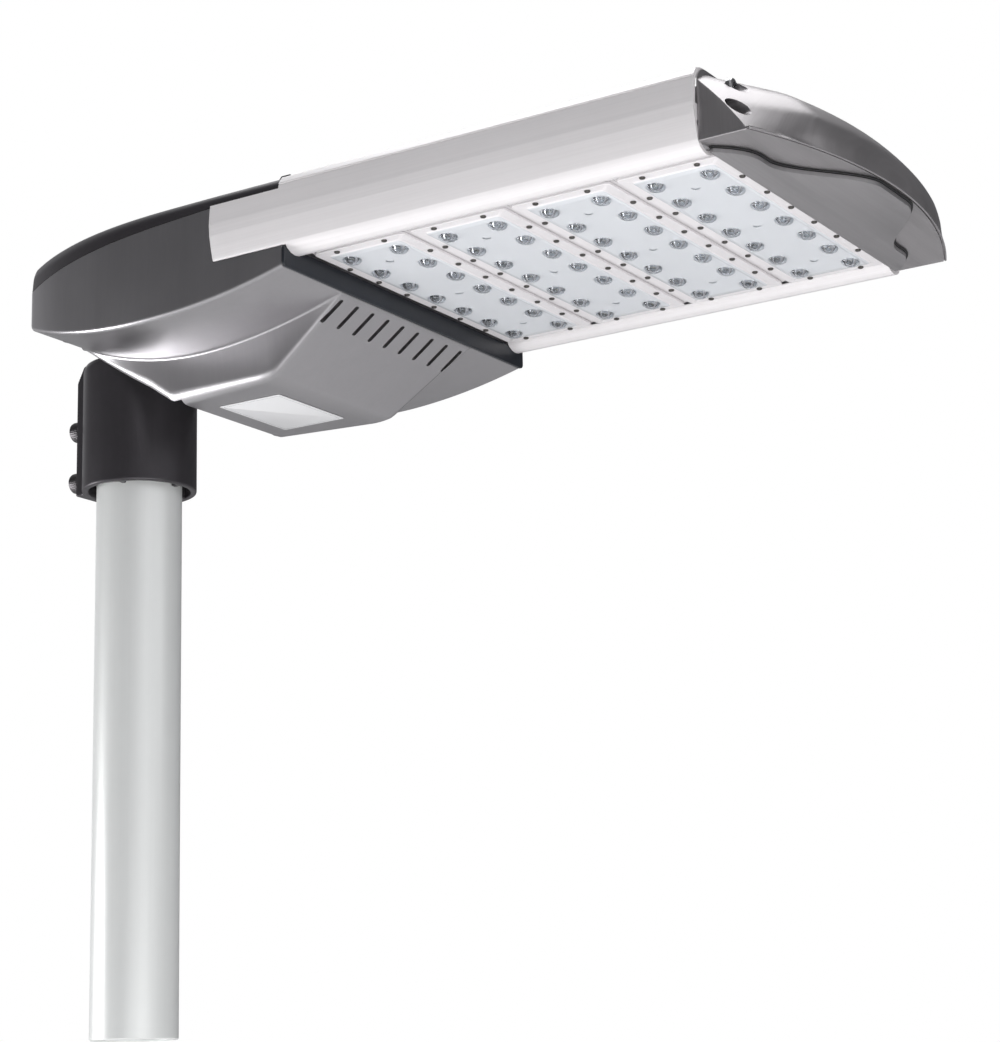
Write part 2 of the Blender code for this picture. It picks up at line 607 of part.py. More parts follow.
def make_lower_housing():
    rear = HOUSING_REAR
    front = HOUSING_FRONT
    wall = HOUSING_WALL
    housing = loft("lower_housing", [housing_section(x, 0.0, seam_height(x) - GAP / 2)
                                     for x in stations(rear, front, STATIONS)])
    keel = loft("keel_outer", [keel_section(x, 0.0)
                               for x in stations(rear + wall, front - 0.01 * MM, STATIONS)])
    slope = [(rear - 20 * MM, 12 * MM), (rear + wall, floor_height(rear) - 2 * MM), (KEEL_REAR, KEEL_BOTTOM),
             (KEEL_REAR, KEEL_BOTTOM * 1.5), (rear - 20 * MM, KEEL_BOTTOM * 1.5)]
    keel_trim = prism("keel_trim", [slope], "XZ", -HOUSING_HALF_WIDTH, HOUSING_HALF_WIDTH)
    cut(keel, keel_trim)
    hollow_start = BULKHEAD_FRONT
    room = loft("housing_room", [housing_section(x, wall, seam_height(x) - RIM_HEIGHT)
                                 for x in stations(hollow_start, front - wall - 1 * MM, STATIONS)])
    mouth = loft("housing_mouth", [[(x, y, z) for x, y, z in
                                    mirrored([(x, housing_half_width(x) - RIM_WIDTH, 0.0),
                                              (x, housing_half_width(x) - RIM_WIDTH, COVER_TOP)])]
                                   for x in stations(hollow_start + 4 * MM, front - FRONT_RIM_WIDTH, 8)])
    belly = loft("keel_room", [keel_section(x, wall)
                               for x in stations(hollow_start, front - wall - 1 * MM, STATIONS)])
    pocket_end = hollow_start - BULKHEAD_THICKNESS
    pockets = []
    for side in (-1, 1):
        sections = []
        for x in stations(rear + wall, pocket_end, 8):
            outer = housing_half_width(x) - wall
            inner = keel_half_width(x)
            low = floor_height(x) + wall
            ring = [(x, side * inner, low), (x, side * outer, low), (x, side * outer, COVER_TOP),
                    (x, side * inner, COVER_TOP)]
            sections.append(ring)
        pockets.append(loft("side_pocket_%d" % (side + 1), sections))
    bay = loft("spigot_bay", [mirrored([(x, keel_half_width(x) - BAY_WALL, KEEL_BOTTOM * 1.5),
                                        (x, keel_half_width(x) - BAY_WALL, COVER_TOP)])
                              for x in (rear - 5 * MM, pocket_end)])
    join(housing, keel)
    cut(housing, room, mouth, belly, bay, *pockets)
    lift(keel, keel_trim, room, mouth, belly, bay, *pockets)

    boss_outer = pivot_boss_outer()
    bosses = rods("pivot_bosses", [((PIVOT_X, side * (DRUM_HALF_LENGTH + GAP), PIVOT_Z),
                                    (PIVOT_X, side * boss_outer, PIVOT_Z)) for side in (-1, 1)],
                  PIVOT_HEAD_RADIUS * 1.1, 24)
    post_floor = floor_height(COVER_SCREW_X) + 1 * MM
    post_top = seam_height(COVER_SCREW_X) - 1 * MM
    screw_posts = rods("cover_screw_posts", cover_screw_lines(post_floor, post_top), SCREW_POST_RADIUS, 16)
    tray_posts = rods("tray_posts", [((x, y, floor_height(x) + 1 * MM), (x, y, TRAY_BOTTOM - GAP))
                                     for x, y in tray_screw_places()], TRAY_SCREW_RADIUS * 2.4, 12)
    lugs = [hinge_lug("housing_lug_%d" % (side + 1), side, False) for side in (-1, 1)]
    join(housing, bosses, screw_posts, tray_posts, *lugs)
    lift(bosses, screw_posts, tray_posts, *lugs)

    pivot_hole = rods("bay_pivot_hole", [pivot_line(boss_outer * 1.2)], PIVOT_BOLT_RADIUS + GAP, 20)
    screw_holes = rods("cover_screw_holes", cover_screw_lines(post_top - SCREW_POST_DEPTH, COVER_TOP),
                       COVER_SCREW_RADIUS + 3 * GAP, 16)
    tray_hole_end = TRAY_BOTTOM - TRAY_SCREW_DEPTH - 1 * MM
    tray_holes = rods("tray_post_holes", [((x, y, tray_hole_end), (x, y, TRAY_BOTTOM + 5 * MM))
                                          for x, y in tray_screw_places()], TRAY_SCREW_RADIUS + GAP, 12)
    gland_hole = rods("gland_hole", [((pocket_end - 5 * MM, 0, GLAND_Z),
                                      (hollow_start + 5 * MM, 0, GLAND_Z))], GLAND_RADIUS + GAP, 20)
    side_steps = [box("rail_step_%d" % (side + 1), (RAIL_START - GAP, front + 5 * MM),
                      sorted((side * RAIL_SEAT, side * (HOUSING_HALF_WIDTH + 5 * MM))),
                      (CAP_BOTTOM - 2 * GAP, COVER_TOP))
                  for side in (-1, 1)]
    pin_holes = rods("lug_pin_holes", [((HINGE_X, side * (HINGE_INNER - 5 * MM), HINGE_Z),
                                        (HINGE_X, side * (HINGE_INNER + 3 * HINGE_LUG_WIDTH), HINGE_Z))
                                       for side in (-1, 1)], HINGE_PIN_RADIUS + GAP, 16)
    vents = make_vent_cutter()
    cut(housing, pivot_hole, screw_holes, tray_holes, gland_hole, *side_steps, pin_holes, vents)
    lift(pivot_hole, screw_holes, tray_holes, gland_hole, *side_steps, pin_holes, vents)
    place(housing, CAST_LIGHT, HEAD_AXIS)


def cover_screw_lines(low, high):
    """Ends of upright bars at the cover's two screws."""
    return [((COVER_SCREW_X, side * COVER_SCREW_Y, low), (COVER_SCREW_X, side * COVER_SCREW_Y, high))
            for side in (-1, 1)]


def make_vent_cutter():
    """Row of slots through the front slope of the keel, narrow boxes that follow the slope."""
    shape = bmesh.new()
    start = Vector((VENT_START, 0, keel_depth(VENT_START)))
    end = Vector((VENT_END, 0, keel_depth(VENT_END)))
    slope = math.atan2(end.z - start.z, end.x - start.x)
    for index in range(VENT_COUNT):
        y = (index - (VENT_COUNT - 1) / 2) * VENT_PITCH
        centre = (start + end) / 2 + Vector((0, y, 0))
        size = Matrix.Diagonal(((end - start).length, VENT_WIDTH, VENT_CUT, 1.0))
        turn = Matrix.Rotation(-slope, 4, "Y")
        bmesh.ops.create_cube(shape, size=1.0, matrix=Matrix.Translation(centre) @ turn @ size)
    return mesh_object("vent_slots", shape)


def hinge_lug(name, side, on_cover):
    """One eye of the cover hinge, on the housing's front wall or on the cover's."""
    first = 0 if on_cover else -90
    eye = [(HINGE_X + HINGE_EYE_RADIUS * math.sin(math.radians(turn)),
            HINGE_Z + HINGE_EYE_RADIUS * math.cos(math.radians(turn))) for turn in range(first, 181, 30)]
    if on_cover:
        arm = [(COVER_FRONT - COVER_WALL * 0.8, HINGE_Z - HINGE_EYE_RADIUS),
               (COVER_FRONT - COVER_WALL * 0.8, HINGE_Z + HINGE_EYE_RADIUS)]
        start = HINGE_INNER + HINGE_LUG_WIDTH + GAP
    else:
        arm = [(HINGE_X, HINGE_Z - HINGE_EYE_RADIUS * 3), (HOUSING_FRONT - 1 * MM, SEAM_FRONT - 12 * MM),
               (HOUSING_FRONT - 1 * MM, SEAM_FRONT - 1 * MM), (COVER_FRONT + 1 * MM, SEAM_FRONT - 1 * MM)]
        start = HINGE_INNER
    ends = sorted((side * start, side * (start + HINGE_LUG_WIDTH)))
    return prism(name, [eye + arm], "XZ", *ends)


# ---------------------------------------------------------------- cover, seal, hinge pins, screws

def cover_section(x, inset, bottom):
    wide = housing_half_width(x) - inset
    top = COVER_TOP - inset
    rise = top - bottom
    return mirrored([(x, wide, bottom),
                     (x, wide - COVER_SHOULDER * 0.12, bottom + rise * 0.5),
                     (x, wide - COVER_SHOULDER * 0.45, bottom + rise * 0.82),
                     (x, wide - COVER_SHOULDER, top)])


def make_top_cover():
    cover = loft("top_cover", [cover_section(x, 0.0, seam_height(x) + GAP / 2)
                               for x in stations(HOUSING_REAR, COVER_FRONT, STATIONS)])
    inside = stations(HOUSING_REAR + COVER_WALL, COVER_FRONT - COVER_WALL, STATIONS)
    room = loft("cover_room", [cover_section(x, COVER_WALL, seam_height(x) - 8 * MM) for x in inside])
    lip_half = HOUSING_HALF_WIDTH - COVER_SHOULDER
    lip = box("cover_lip", (COVER_FRONT - COVER_LIP_LENGTH, COVER_FRONT - 0.01 * MM), (-lip_half, lip_half),
              (COVER_TOP - COVER_WALL, COVER_TOP + COVER_LIP_HEIGHT))
    lugs = [hinge_lug("cover_lug_%d" % (side + 1), side, True) for side in (-1, 1)]
    cut(cover, room)
    join(cover, lip, *lugs)
    pin_holes = rods("cover_pin_holes", [((HINGE_X, side * HINGE_INNER, HINGE_Z),
                                          (HINGE_X, side * (HINGE_INNER + 3 * HINGE_LUG_WIDTH), HINGE_Z))
                                         for side in (-1, 1)], HINGE_PIN_RADIUS + GAP, 16)
    screw_holes = rods("cover_through_holes", cover_screw_lines(0, COVER_TOP * 1.2),
                       COVER_SCREW_RADIUS + GAP, 16)
    cut(cover, pin_holes, screw_holes)
    lift(room, lip, pin_holes, screw_holes, *lugs)
    place(cover, CAST_DARK, COVER_AXIS)
    seat = COVER_TOP + GAP
    tip = seam_height(COVER_SCREW_X) - 1 * MM - COVER_SCREW_GRIP
    heads = cover_screw_lines(seat, seat + COVER_LIP_HEIGHT * 0.8)
    shanks = cover_screw_lines(seat + GAP, tip)
    for name, head_line, shank_line in zip(("right", "left"), heads, shanks):
        head = rods("cover_screw_" + name, [head_line], COVER_SCREW_HEAD, 20)
        shank = rods("cover_shank_" + name, [shank_line], COVER_SCREW_RADIUS, 16)
        join(head, shank)
        lift(shank)
        place(head, STEEL, COVER_AXIS)


def make_hinge_pins():
    for side, name in ((-1, "right"), (1, "left")):
        head_face = HINGE_INNER - GAP
        inner = head_face - HINGE_PIN_HEAD
        outer = HINGE_INNER + 2 * HINGE_LUG_WIDTH + GAP + 2 * MM
        pin = rods("cover_hinge_pin_" + name, [((HINGE_X, side * inner, HINGE_Z),
                                                (HINGE_X, side * outer, HINGE_Z))], HINGE_PIN_RADIUS, 16)
        head = rods("hinge_pin_head_" + name, [((HINGE_X, side * inner, HINGE_Z),
                                                (HINGE_X, side * head_face, HINGE_Z))],
                    HINGE_PIN_HEAD_RADIUS, 16)
        join(pin, head)
        lift(head)
        place(pin, STEEL, HEAD_AXIS)


def make_cover_seal():
    """Round rubber cord on the housing's rim, round the electrical room."""
    rear = BULKHEAD_FRONT
    front = HOUSING_FRONT - FRONT_RIM_WIDTH + 2 * SEAL_RADIUS
    route = []
    for side in (-1, 1):
        xs = stations(rear, front, 14)
        if side == 1:
            xs.reverse()
        for x in xs:
            y = side * (min(housing_half_width(x), RAIL_SEAT) - SEAL_INSET)
            route.append((x, y, seam_height(x) + SEAL_RADIUS + GAP / 2))
    curve = bpy.data.curves.new("cover_seal", "CURVE")
    curve.dimensions = "3D"
    curve.bevel_depth = SEAL_RADIUS
    curve.bevel_resolution = 2
    spline = curve.splines.new("POLY")
    spline.points.add(len(route) - 1)
    for point, place_on_rim in zip(spline.points, route):
        point.co = (*place_on_rim, 1.0)
    spline.use_cyclic_u = True
    drawing = bpy.data.objects.new("cover_seal_route", curve)
    CUTTERS.objects.link(drawing)
    mesh = bpy.data.meshes.new_from_object(drawing.evaluated_get(bpy.context.evaluated_depsgraph_get()))
    bpy.data.objects.remove(drawing, do_unlink=True)
    shape = bmesh.new()
    shape.from_mesh(mesh)
    bpy.data.meshes.remove(mesh)
    bmesh.ops.remove_doubles(shape, verts=shape.verts, dist=1e-6)
    place(mesh_object("cover_seal", shape), RUBBER, HEAD_AXIS)


# ---------------------------------------------------------------- rails, heat sink, bar

def rail_outline(side):
    """Section of a side rail in Y and Z: lip, bowed wall, groove line, leaning top, screw port."""
    wide = RAIL_HALF_WIDTH
    inner = RAIL_LIP_INNER
    top = RAIL_TOP
    low = RAIL_LIP_BOTTOM
    port_z = CAP_SCREWS[0][1]
    port = RAIL_PORT_HALF_HEIGHT
    skin = RAIL_WALL
    lip_outside = [(inner, low + 5.8 * MM), (inner + 1.5 * MM, low + 3.2 * MM),
                   (inner + 5.5 * MM, low + 0.8 * MM), (inner + 10 * MM, low)]
    wall_outside = [(wide - 9.8 * MM, low + 0.8 * MM), (wide - 5.8 * MM, low + 3.0 * MM),
                    (wide - 3.9 * MM, low + 6.3 * MM), (wide - 2.1 * MM, low + 13.5 * MM),
                    (wide - 0.6 * MM, low + 21.1 * MM), (wide, low + 28.5 * MM)]
    top_outside = [(wide - 0.9 * MM, top - 14.4 * MM), (wide - 1.9 * MM, top - 7.4 * MM),
                   (wide - 5.3 * MM, top - 2.2 * MM), (wide - 10 * MM, top - 0.5 * MM),
                   (wide - 14.3 * MM, top), (wide - 18.3 * MM, top)]
    top_inside = [(wide - 18.3 * MM, top - skin), (wide - 14.3 * MM, top - skin),
                  (wide - 7.2 * MM, top - skin - 2 * MM), (wide - 4.3 * MM, top - 8.4 * MM),
                  (wide - 3.3 * MM, top - 14.4 * MM)]
    port_box = [(wide - skin, port_z + port), (RAIL_PORT_INNER, port_z + port),
                (RAIL_PORT_INNER, port_z - port), (wide - 2.9 * MM, port_z - port)]
    wall_inside = [(wide - 4.6 * MM, low + 13.5 * MM), (wide - 6.4 * MM, low + 7.8 * MM),
                   (wide - 8.1 * MM, low + 5.0 * MM), (wide - 10.6 * MM, low + 3.1 * MM)]
    lip_inside = [(inner + 10 * MM, low + 2.4 * MM), (inner + 6.6 * MM, low + 3.0 * MM),
                  (inner + 3.4 * MM, low + 4.8 * MM), (inner + 2.3 * MM, low + 6.2 * MM)]
    outline = lip_outside + wall_outside + top_outside + top_inside + port_box + wall_inside + lip_inside
    return [(side * y, z) for y, z in outline]


def make_side_rails():
    for side, name in ((-1, "right"), (1, "left")):
        rail = prism("side_rail_" + name, [rail_outline(side)], "YZ", RAIL_START, RAIL_END)
        lip_notch = box("lip_notch_" + name, (RAIL_START - 5 * MM, BAR_FRONT + GAP),
                        sorted((side * (RAIL_LIP_INNER - 5 * MM), side * (RAIL_SEAT + 1.2 * MM))),
                        (RAIL_LIP_BOTTOM - 5 * MM, CAP_BOTTOM + 3.5 * MM))
        edge_notch = box("edge_notch_" + name, (RAIL_START - 5 * MM, BAR_FRONT + GAP),
                         sorted((side * RAIL_LIP_INNER, side * (RAIL_HALF_WIDTH + 5 * MM))),
                         (RAIL_LIP_BOTTOM - 5 * MM, CAP_BOTTOM))
        port_notch = box("port_notch_" + name, (RAIL_START - 5 * MM, SINK_START),
                         sorted((side * (RAIL_PORT_INNER - 5 * MM), side * (RAIL_SEAT + GAP))),
                         (RAIL_LIP_BOTTOM, SEAM_FRONT))
        top_notch = box("top_notch_" + name, (RAIL_START - 5 * MM, COVER_FRONT + GAP),
                        sorted((side * RAIL_LIP_INNER, side * (RAIL_HALF_WIDTH + 5 * MM))),
                        (SEAM_FRONT - GAP / 2, RAIL_TOP + 5 * MM))
        y, z = CAP_SCREWS[0]
        hole = rods("rail_screw_hole_" + name, [((RAIL_END - CAP_SCREW_LENGTH, side * y, z),
                                                 (RAIL_END + 5 * MM, side * y, z))],
                    CAP_SCREW_RADIUS + GAP, 12)
        cut(rail, lip_notch, edge_notch, port_notch, top_notch, hole)
        lift(lip_notch, edge_notch, port_notch, top_notch, hole)
        place(rail, EXTRUSION, HEAD_AXIS)


def sink_outline():
    """Comb-shaped section of the heat sink: base plate, thick edge fins and thin fins between."""
    half = RAIL_HALF_WIDTH - 6.2 * MM - GAP
    bottom = SINK_BASE_BOTTOM
    base = bottom + SINK_BASE_THICKNESS
    fins = [(-EDGE_FIN_Y, EDGE_FIN_THICKNESS)]
    span = 2 * EDGE_FIN_Y
    for index in range(1, FIN_COUNT + 1):
        fins.append((-EDGE_FIN_Y + span * index / (FIN_COUNT + 1), FIN_THICKNESS))
    fins.append((EDGE_FIN_Y, EDGE_FIN_THICKNESS))
    points = [(-half, bottom), (half, bottom), (half, base)]
    for y, thick in reversed(fins):
        points += [(y + thick / 2, base), (y + thick / 2, FIN_TOP)]
        points += [(y - thick / 2, FIN_TOP), (y - thick / 2, base)]
    points.append((-half, base))
    return points


def make_heat_sink():
    sink = prism("heat_sink", [sink_outline()], "YZ", SINK_START, RAIL_END - GAP)
    base_top = SINK_BASE_BOTTOM + SINK_BASE_THICKNESS
    end_notch = box("fin_end_notch", (SINK_START - 5 * MM, FIN_START),
                    (-HOUSING_HALF_WIDTH, HOUSING_HALF_WIDTH), (base_top - 2 * GAP, RAIL_TOP))
    y, z = CAP_SCREWS[1]
    holes = rods("sink_screw_holes", [((RAIL_END - CAP_SCREW_LENGTH, side * y, z),
                                       (RAIL_END + 5 * MM, side * y, z)) for side in (-1, 1)],
                 CAP_SCREW_RADIUS + GAP, 12)
    cut(sink, end_notch, holes)
    lift(end_notch, holes)
    place(sink, EXTRUSION, HEAD_AXIS)


def make_front_bar():
    """Dark bar that closes the housing's front edge under the lens field."""
    depth = BAR_FRONT - HOUSING_FRONT - GAP
    size = (2 * BAR_HALF_WIDTH, BAR_TOP - BAR_BOTTOM)
    outline = rounded_rectangle((0, (BAR_TOP + BAR_BOTTOM) / 2), size, BAR_CORNER)
    bar = prism("front_bar", [outline], "YZ", BAR_FRONT - depth, BAR_FRONT)
    place(bar, DARK_PLASTIC, HEAD_AXIS)


# ---------------------------------------------------------------- LED modules

def module_centres():
    first = MODULE_START + MODULE_LENGTH / 2
    return [first + index * MODULE_PITCH for index in range(MODULE_COUNT)]


def lens_places(centre):
    return [(centre + (row - (LENS_ROWS - 1) / 2) * LENS_ROW_PITCH,
             (column - (LENS_COLUMNS - 1) / 2) * LENS_COLUMN_PITCH)
            for row in range(LENS_ROWS) for column in range(LENS_COLUMNS)]


def make_modules():
    """Four light modules: moulded lens plate, ring gasket and circuit board with its LED chips."""
    length = MODULE_LENGTH
    width = 2 * MODULE_HALF_WIDTH
    plate_top = PLATE_BOTTOM + PLATE_THICKNESS
    board_top = SINK_BASE_BOTTOM - GAP
    board_bottom = board_top - BOARD_THICKNESS
    for index, centre in enumerate(module_centres()):
        number = "_%d" % (index + 1)
        outline = rounded_rectangle((centre, 0), (length, width), 4 * MM)
        plate = prism("lens_plate" + number, [outline], "XY", PLATE_BOTTOM, plate_top)
        domes = rods("lens_domes" + number, [((x, y, plate_top - 1 * MM), (x, y, PLATE_BOTTOM - LENS_HEIGHT))
                                             for x, y in lens_places(centre)],
                     LENS_RADIUS, 10, LENS_RADIUS * 0.55)
        join(plate, domes)
        lift(domes)
        place(plate, CLEAR_PLASTIC, HEAD_AXIS)
        inner = rounded_rectangle((centre, 0), (length - 2 * GASKET_WIDTH, width - 2 * GASKET_WIDTH), 2 * MM)
        ring = prism("lens_gasket" + number, [outline, inner], "XY", plate_top + GAP, board_top)
        place(ring, SILICONE, HEAD_AXIS)
        board_size = (length - 2 * GASKET_WIDTH - 2 * MM, width - 2 * GASKET_WIDTH - 2 * MM)
        board = prism("led_board" + number, [rounded_rectangle((centre, 0), board_size, 1 * MM)], "XY",
                      board_bottom, board_top)
        shape = bmesh.new()
        for x, y in lens_places(centre):
            size = Matrix.Diagonal((CHIP_SIZE, CHIP_SIZE, CHIP_HEIGHT * 2, 1.0))
            bmesh.ops.create_cube(shape, size=1.0, matrix=Matrix.Translation((x, y, board_bottom)) @ size)
        chips = mesh_object("led_chips" + number, shape)
        join(board, chips)
        lift(chips)
        place(board, BOARD_WHITE, HEAD_AXIS)


# ---------------------------------------------------------------- end cap

def nose_edge(y):
    """X of the end cap's nose at a place across the lamp: an arc."""
    return CAP_NOSE - (CAP_NOSE_RADIUS - math.sqrt(CAP_NOSE_RADIUS ** 2 - y ** 2))


def cap_section(y, back, inset):
    """Side view of the end cap at one place across: bottom, blunt edge and crowned top."""
    edge = nose_edge(y) - inset
    top = CAP_TOP - inset
    low = CAP_BOTTOM + inset
    points = [(back, low), (edge, low)]
    points += [(edge - s * MM, min(CAP_BOTTOM + h * MM - inset * 0.6, top)) for s, h in CAP_CROWN]
    points += [(edge - CAP_CROWN_END, top), (back, top)]
    return [(x, y, z) for x, z in points]


def panel_end():
    """X where the last light module ends; the cap's floor and lower plate start after it."""
    return MODULES_END + 2 * GAP


def make_end_cap():
    half = CAP_HALF_WIDTH
    back = RAIL_END + GAP
    cap = loft("end_cap", [cap_section(y, min(back, nose_edge(y) - CAP_CROWN_END - 1 * MM), 0.0)
                           for y in stations(-half, half, CAP_STATIONS)])
    right_half = [(half + 5 * MM, CAP_BOTTOM - 5 * MM), (half + 5 * MM, CAP_TOP - 12 * MM),
                  (half, CAP_TOP - 8.5 * MM), (half - 3.5 * MM, CAP_TOP - 3.2 * MM),
                  (half - 10 * MM, CAP_TOP), (half - 10 * MM, CAP_TOP + 5 * MM)]
    section = right_half + [(-y, z) for y, z in reversed(right_half)]
    shoulder = prism("cap_shoulder", [section], "YZ", back, CAP_NOSE + 5 * MM)
    combine(cap, shoulder, "INTERSECT")
    inner_half = half - CAP_WALL
    room_back = back - 20 * MM
    room = loft("cap_room", [cap_section(y, min(room_back, nose_edge(y) - CAP_CROWN_END - 3 * MM), CAP_WALL)
                             for y in stations(-inner_half, inner_half, CAP_STATIONS)])
    roof = CAP_TOP - CAP_WALL - 2 * MM
    inner_right = [(inner_half, 0.0), (inner_half, CAP_TOP - 12.5 * MM), (inner_half - 8 * MM, roof)]
    inner_section = inner_right + [(-y, z) for y, z in reversed(inner_right)]
    room_limit = prism("cap_room_limit", [inner_section], "YZ", back - 30 * MM, CAP_NOSE + 5 * MM)
    combine(room, room_limit, "INTERSECT")
    places = [(side * y, z) for side in (-1, 1) for y, z in CAP_SCREWS]
    bosses = rods("cap_bosses", [((back, y, z), (CAP_NOSE, y, z)) for y, z in places], CAP_BOSS_RADIUS, 20)
    cut(room, bosses)
    cut(cap, room)
    wells = rods("cap_screw_wells", [((CAP_SCREW_SEAT, y, z), (CAP_NOSE + 5 * MM, y, z))
                                     for y, z in places], CAP_WELL_RADIUS, 20)
    holes = rods("cap_screw_holes", [((back - 5 * MM, y, z), (CAP_SCREW_SEAT + 1 * MM, y, z))
                                     for y, z in places], CAP_SCREW_RADIUS + GAP, 12)
    notch_half = MODULE_HALF_WIDTH + 2 * MM
    floor_notch = box("cap_floor_notch", (back - 5 * MM, panel_end()), (-notch_half, notch_half),
                      (0, SINK_BASE_BOTTOM + 1 * MM))
    cut(cap, wells, holes, floor_notch)
    lift(shoulder, room, room_limit, bosses, wells, holes, floor_notch)
    place(cap, CAST_LIGHT, HEAD_AXIS)
    seat = CAP_SCREW_SEAT + GAP
    for index, (y, z) in enumerate(places):
        head = rods("end_cap_screw_%d" % (index + 1), [((seat, y, z), (seat + CAP_SCREW_HEAD_HEIGHT, y, z))],
                    CAP_SCREW_HEAD, 16)
        shank = rods("cap_shank_%d" % index, [((seat + GAP, y, z), (seat - CAP_SCREW_LENGTH, y, z))],
                     CAP_SCREW_RADIUS, 12)
        join(head, shank)
        lift(shank)
        place(head, STEEL, HEAD_AXIS)


def wavy_edge(y, inset):
    """Front edge of the lower plate: a rounded bulge between two shoulders and round corners."""
    across = abs(y)
    share = min(1.0, max(0.0, (across - WAVE_INNER) / WAVE_FALL))
    bulge = (LOWER_PLATE_NOSE - LOWER_PLATE_SHOULDER) * (1 - 3 * share ** 2 + 2 * share ** 3)
    corner = max(0.0, across - LOWER_PLATE_HALF_WIDTH + WAVE_CORNER) / WAVE_CORNER
    return LOWER_PLATE_SHOULDER + bulge - WAVE_CORNER_DROP * corner ** 2 - inset


def make_lower_plate():
    back = panel_end()
    plate_top = LOWER_PLATE_BOTTOM + LOWER_PLATE_THICKNESS
    for name, inset, low, high, material in (
            ("end_cap_lower_plate", 0.0, LOWER_PLATE_BOTTOM, plate_top, CAST_LIGHT),
            ("end_cap_gasket", 1.0 * MM, plate_top + GAP, CAP_BOTTOM - GAP, RUBBER)):
        half = LOWER_PLATE_HALF_WIDTH - inset
        outline = [(back + inset, -half)]
        outline += [(wavy_edge(y, inset), y) for y in stations(-half, half, 41)]
        outline.append((back + inset, half))
        place(prism(name, [outline], "XY", low, high), material, HEAD_AXIS)


# ---------------------------------------------------------------- inside the housing

def tray_screw_places():
    return [(x, side * (TRAY_HALF_WIDTH - TRAY_SCREW_INSET))
            for x in (TRAY_REAR + TRAY_SCREW_INSET, TRAY_FRONT - TRAY_SCREW_INSET) for side in (-1, 1)]


def make_tray():
    """Sheet-steel tray that carries the electrical parts, with its four screws."""
    top = TRAY_BOTTOM + TRAY_THICKNESS
    centre = ((TRAY_REAR + TRAY_FRONT) / 2, 0)
    outline = rounded_rectangle(centre, (TRAY_FRONT - TRAY_REAR, 2 * TRAY_HALF_WIDTH), 5 * MM)
    tray = prism("gear_tray", [outline], "XY", TRAY_BOTTOM, top)
    tip = TRAY_BOTTOM - TRAY_SCREW_DEPTH
    holes = rods("tray_holes", [((x, y, tip), (x, y, top + 3 * MM))
                                for x, y in tray_screw_places()], TRAY_SCREW_RADIUS + GAP, 12)
    cut(tray, holes)
    lift(holes)
    place(tray, SHEET_STEEL, HEAD_AXIS)
    for index, (x, y) in enumerate(tray_screw_places()):
        head = rods("tray_screw_%d" % (index + 1), [((x, y, top + GAP),
                                                     (x, y, top + GAP + TRAY_SCREW_HEAD_HEIGHT))],
                    TRAY_SCREW_HEAD, 12)
        shank = rods("tray_shank_%d" % index, [((x, y, top + 2 * GAP), (x, y, tip))], TRAY_SCREW_RADIUS, 12)
        join(head, shank)
        lift(shank)
        place(head, STEEL, HEAD_AXIS)


def make_electrics():
    seat = TRAY_BOTTOM + TRAY_THICKNESS + GAP
    driver = box("led_driver", (DRIVER_X - DRIVER_WIDTH / 2, DRIVER_X + DRIVER_WIDTH / 2),
                 (-DRIVER_LENGTH / 2, DRIVER_LENGTH / 2), (seat, seat + DRIVER_HEIGHT))
    soften(driver, DRIVER_EDGE)
    place(driver, DRIVER_COAT, HEAD_AXIS)
    rear = TERMINAL_FRONT - TERMINAL_DEPTH
    block = box("terminal_block", (rear, TERMINAL_FRONT), TERMINAL_ENDS, (seat, seat + TERMINAL_HEIGHT))
    middle = sum(TERMINAL_ENDS) / 2
    reach = TERMINAL_PITCH * (TERMINAL_WAYS - 1) / 2
    z = seat + TERMINAL_ENTRY_HEIGHT
    entries = rods("terminal_entries", [((rear - 5 * MM, y, z), (rear + TERMINAL_ENTRY_DEPTH, y, z))
                                        for y in stations(middle - reach, middle + reach, TERMINAL_WAYS)],
                   TERMINAL_ENTRY_RADIUS, 12)
    cut(block, entries)
    lift(entries)
    place(block, TERMINAL_GREY, HEAD_AXIS)
    surge = box("surge_protector", (SURGE_FRONT - SURGE_DEPTH, SURGE_FRONT), SURGE_ENDS,
                (seat, seat + SURGE_HEIGHT))
    soften(surge, DRIVER_EDGE)
    place(surge, SURGE_ORANGE, HEAD_AXIS)


def soften(thing, width):
    bevel = thing.modifiers.new("edges", "BEVEL")
    bevel.width = width
    bevel.segments = 2
    bevel.limit_method = "ANGLE"


def make_gland():
    """Cable gland through the bulkhead, with its lock nut in the electrical room."""
    seat = BULKHEAD_FRONT - BULKHEAD_THICKNESS - GAP
    gland = rods("cable_gland", [((GLAND_TIP, 0, GLAND_Z), (GLAND_THREAD_END, 0, GLAND_Z))], GLAND_RADIUS, 20)
    collar = rods("gland_hex", [((seat - GLAND_HEX_HEIGHT, 0, GLAND_Z), (seat, 0, GLAND_Z))],
                  GLAND_HEX_RADIUS, 6)
    bore = rods("gland_bore", [((GLAND_TIP - 5 * MM, 0, GLAND_Z), (GLAND_THREAD_END + 5 * MM, 0, GLAND_Z))],
                GLAND_BORE, 16)
    join(gland, collar)
    cut(gland, bore)
    lift(collar, bore)
    place(gland, GLAND_BLACK, HEAD_AXIS)
    nut = rods("gland_nut", [((BULKHEAD_FRONT + GAP, 0, GLAND_Z),
                              (BULKHEAD_FRONT + GAP + GLAND_NUT_HEIGHT, 0, GLAND_Z))], GLAND_HEX_RADIUS, 6)
    thread = rods("gland_thread", [((BULKHEAD_FRONT - 5 * MM, 0, GLAND_Z), (GLAND_THREAD_END, 0, GLAND_Z))],
                  GLAND_RADIUS + GAP, 20)
    cut(nut, thread)
    lift(thread)
    place(nut, GLAND_BLACK, HEAD_AXIS)


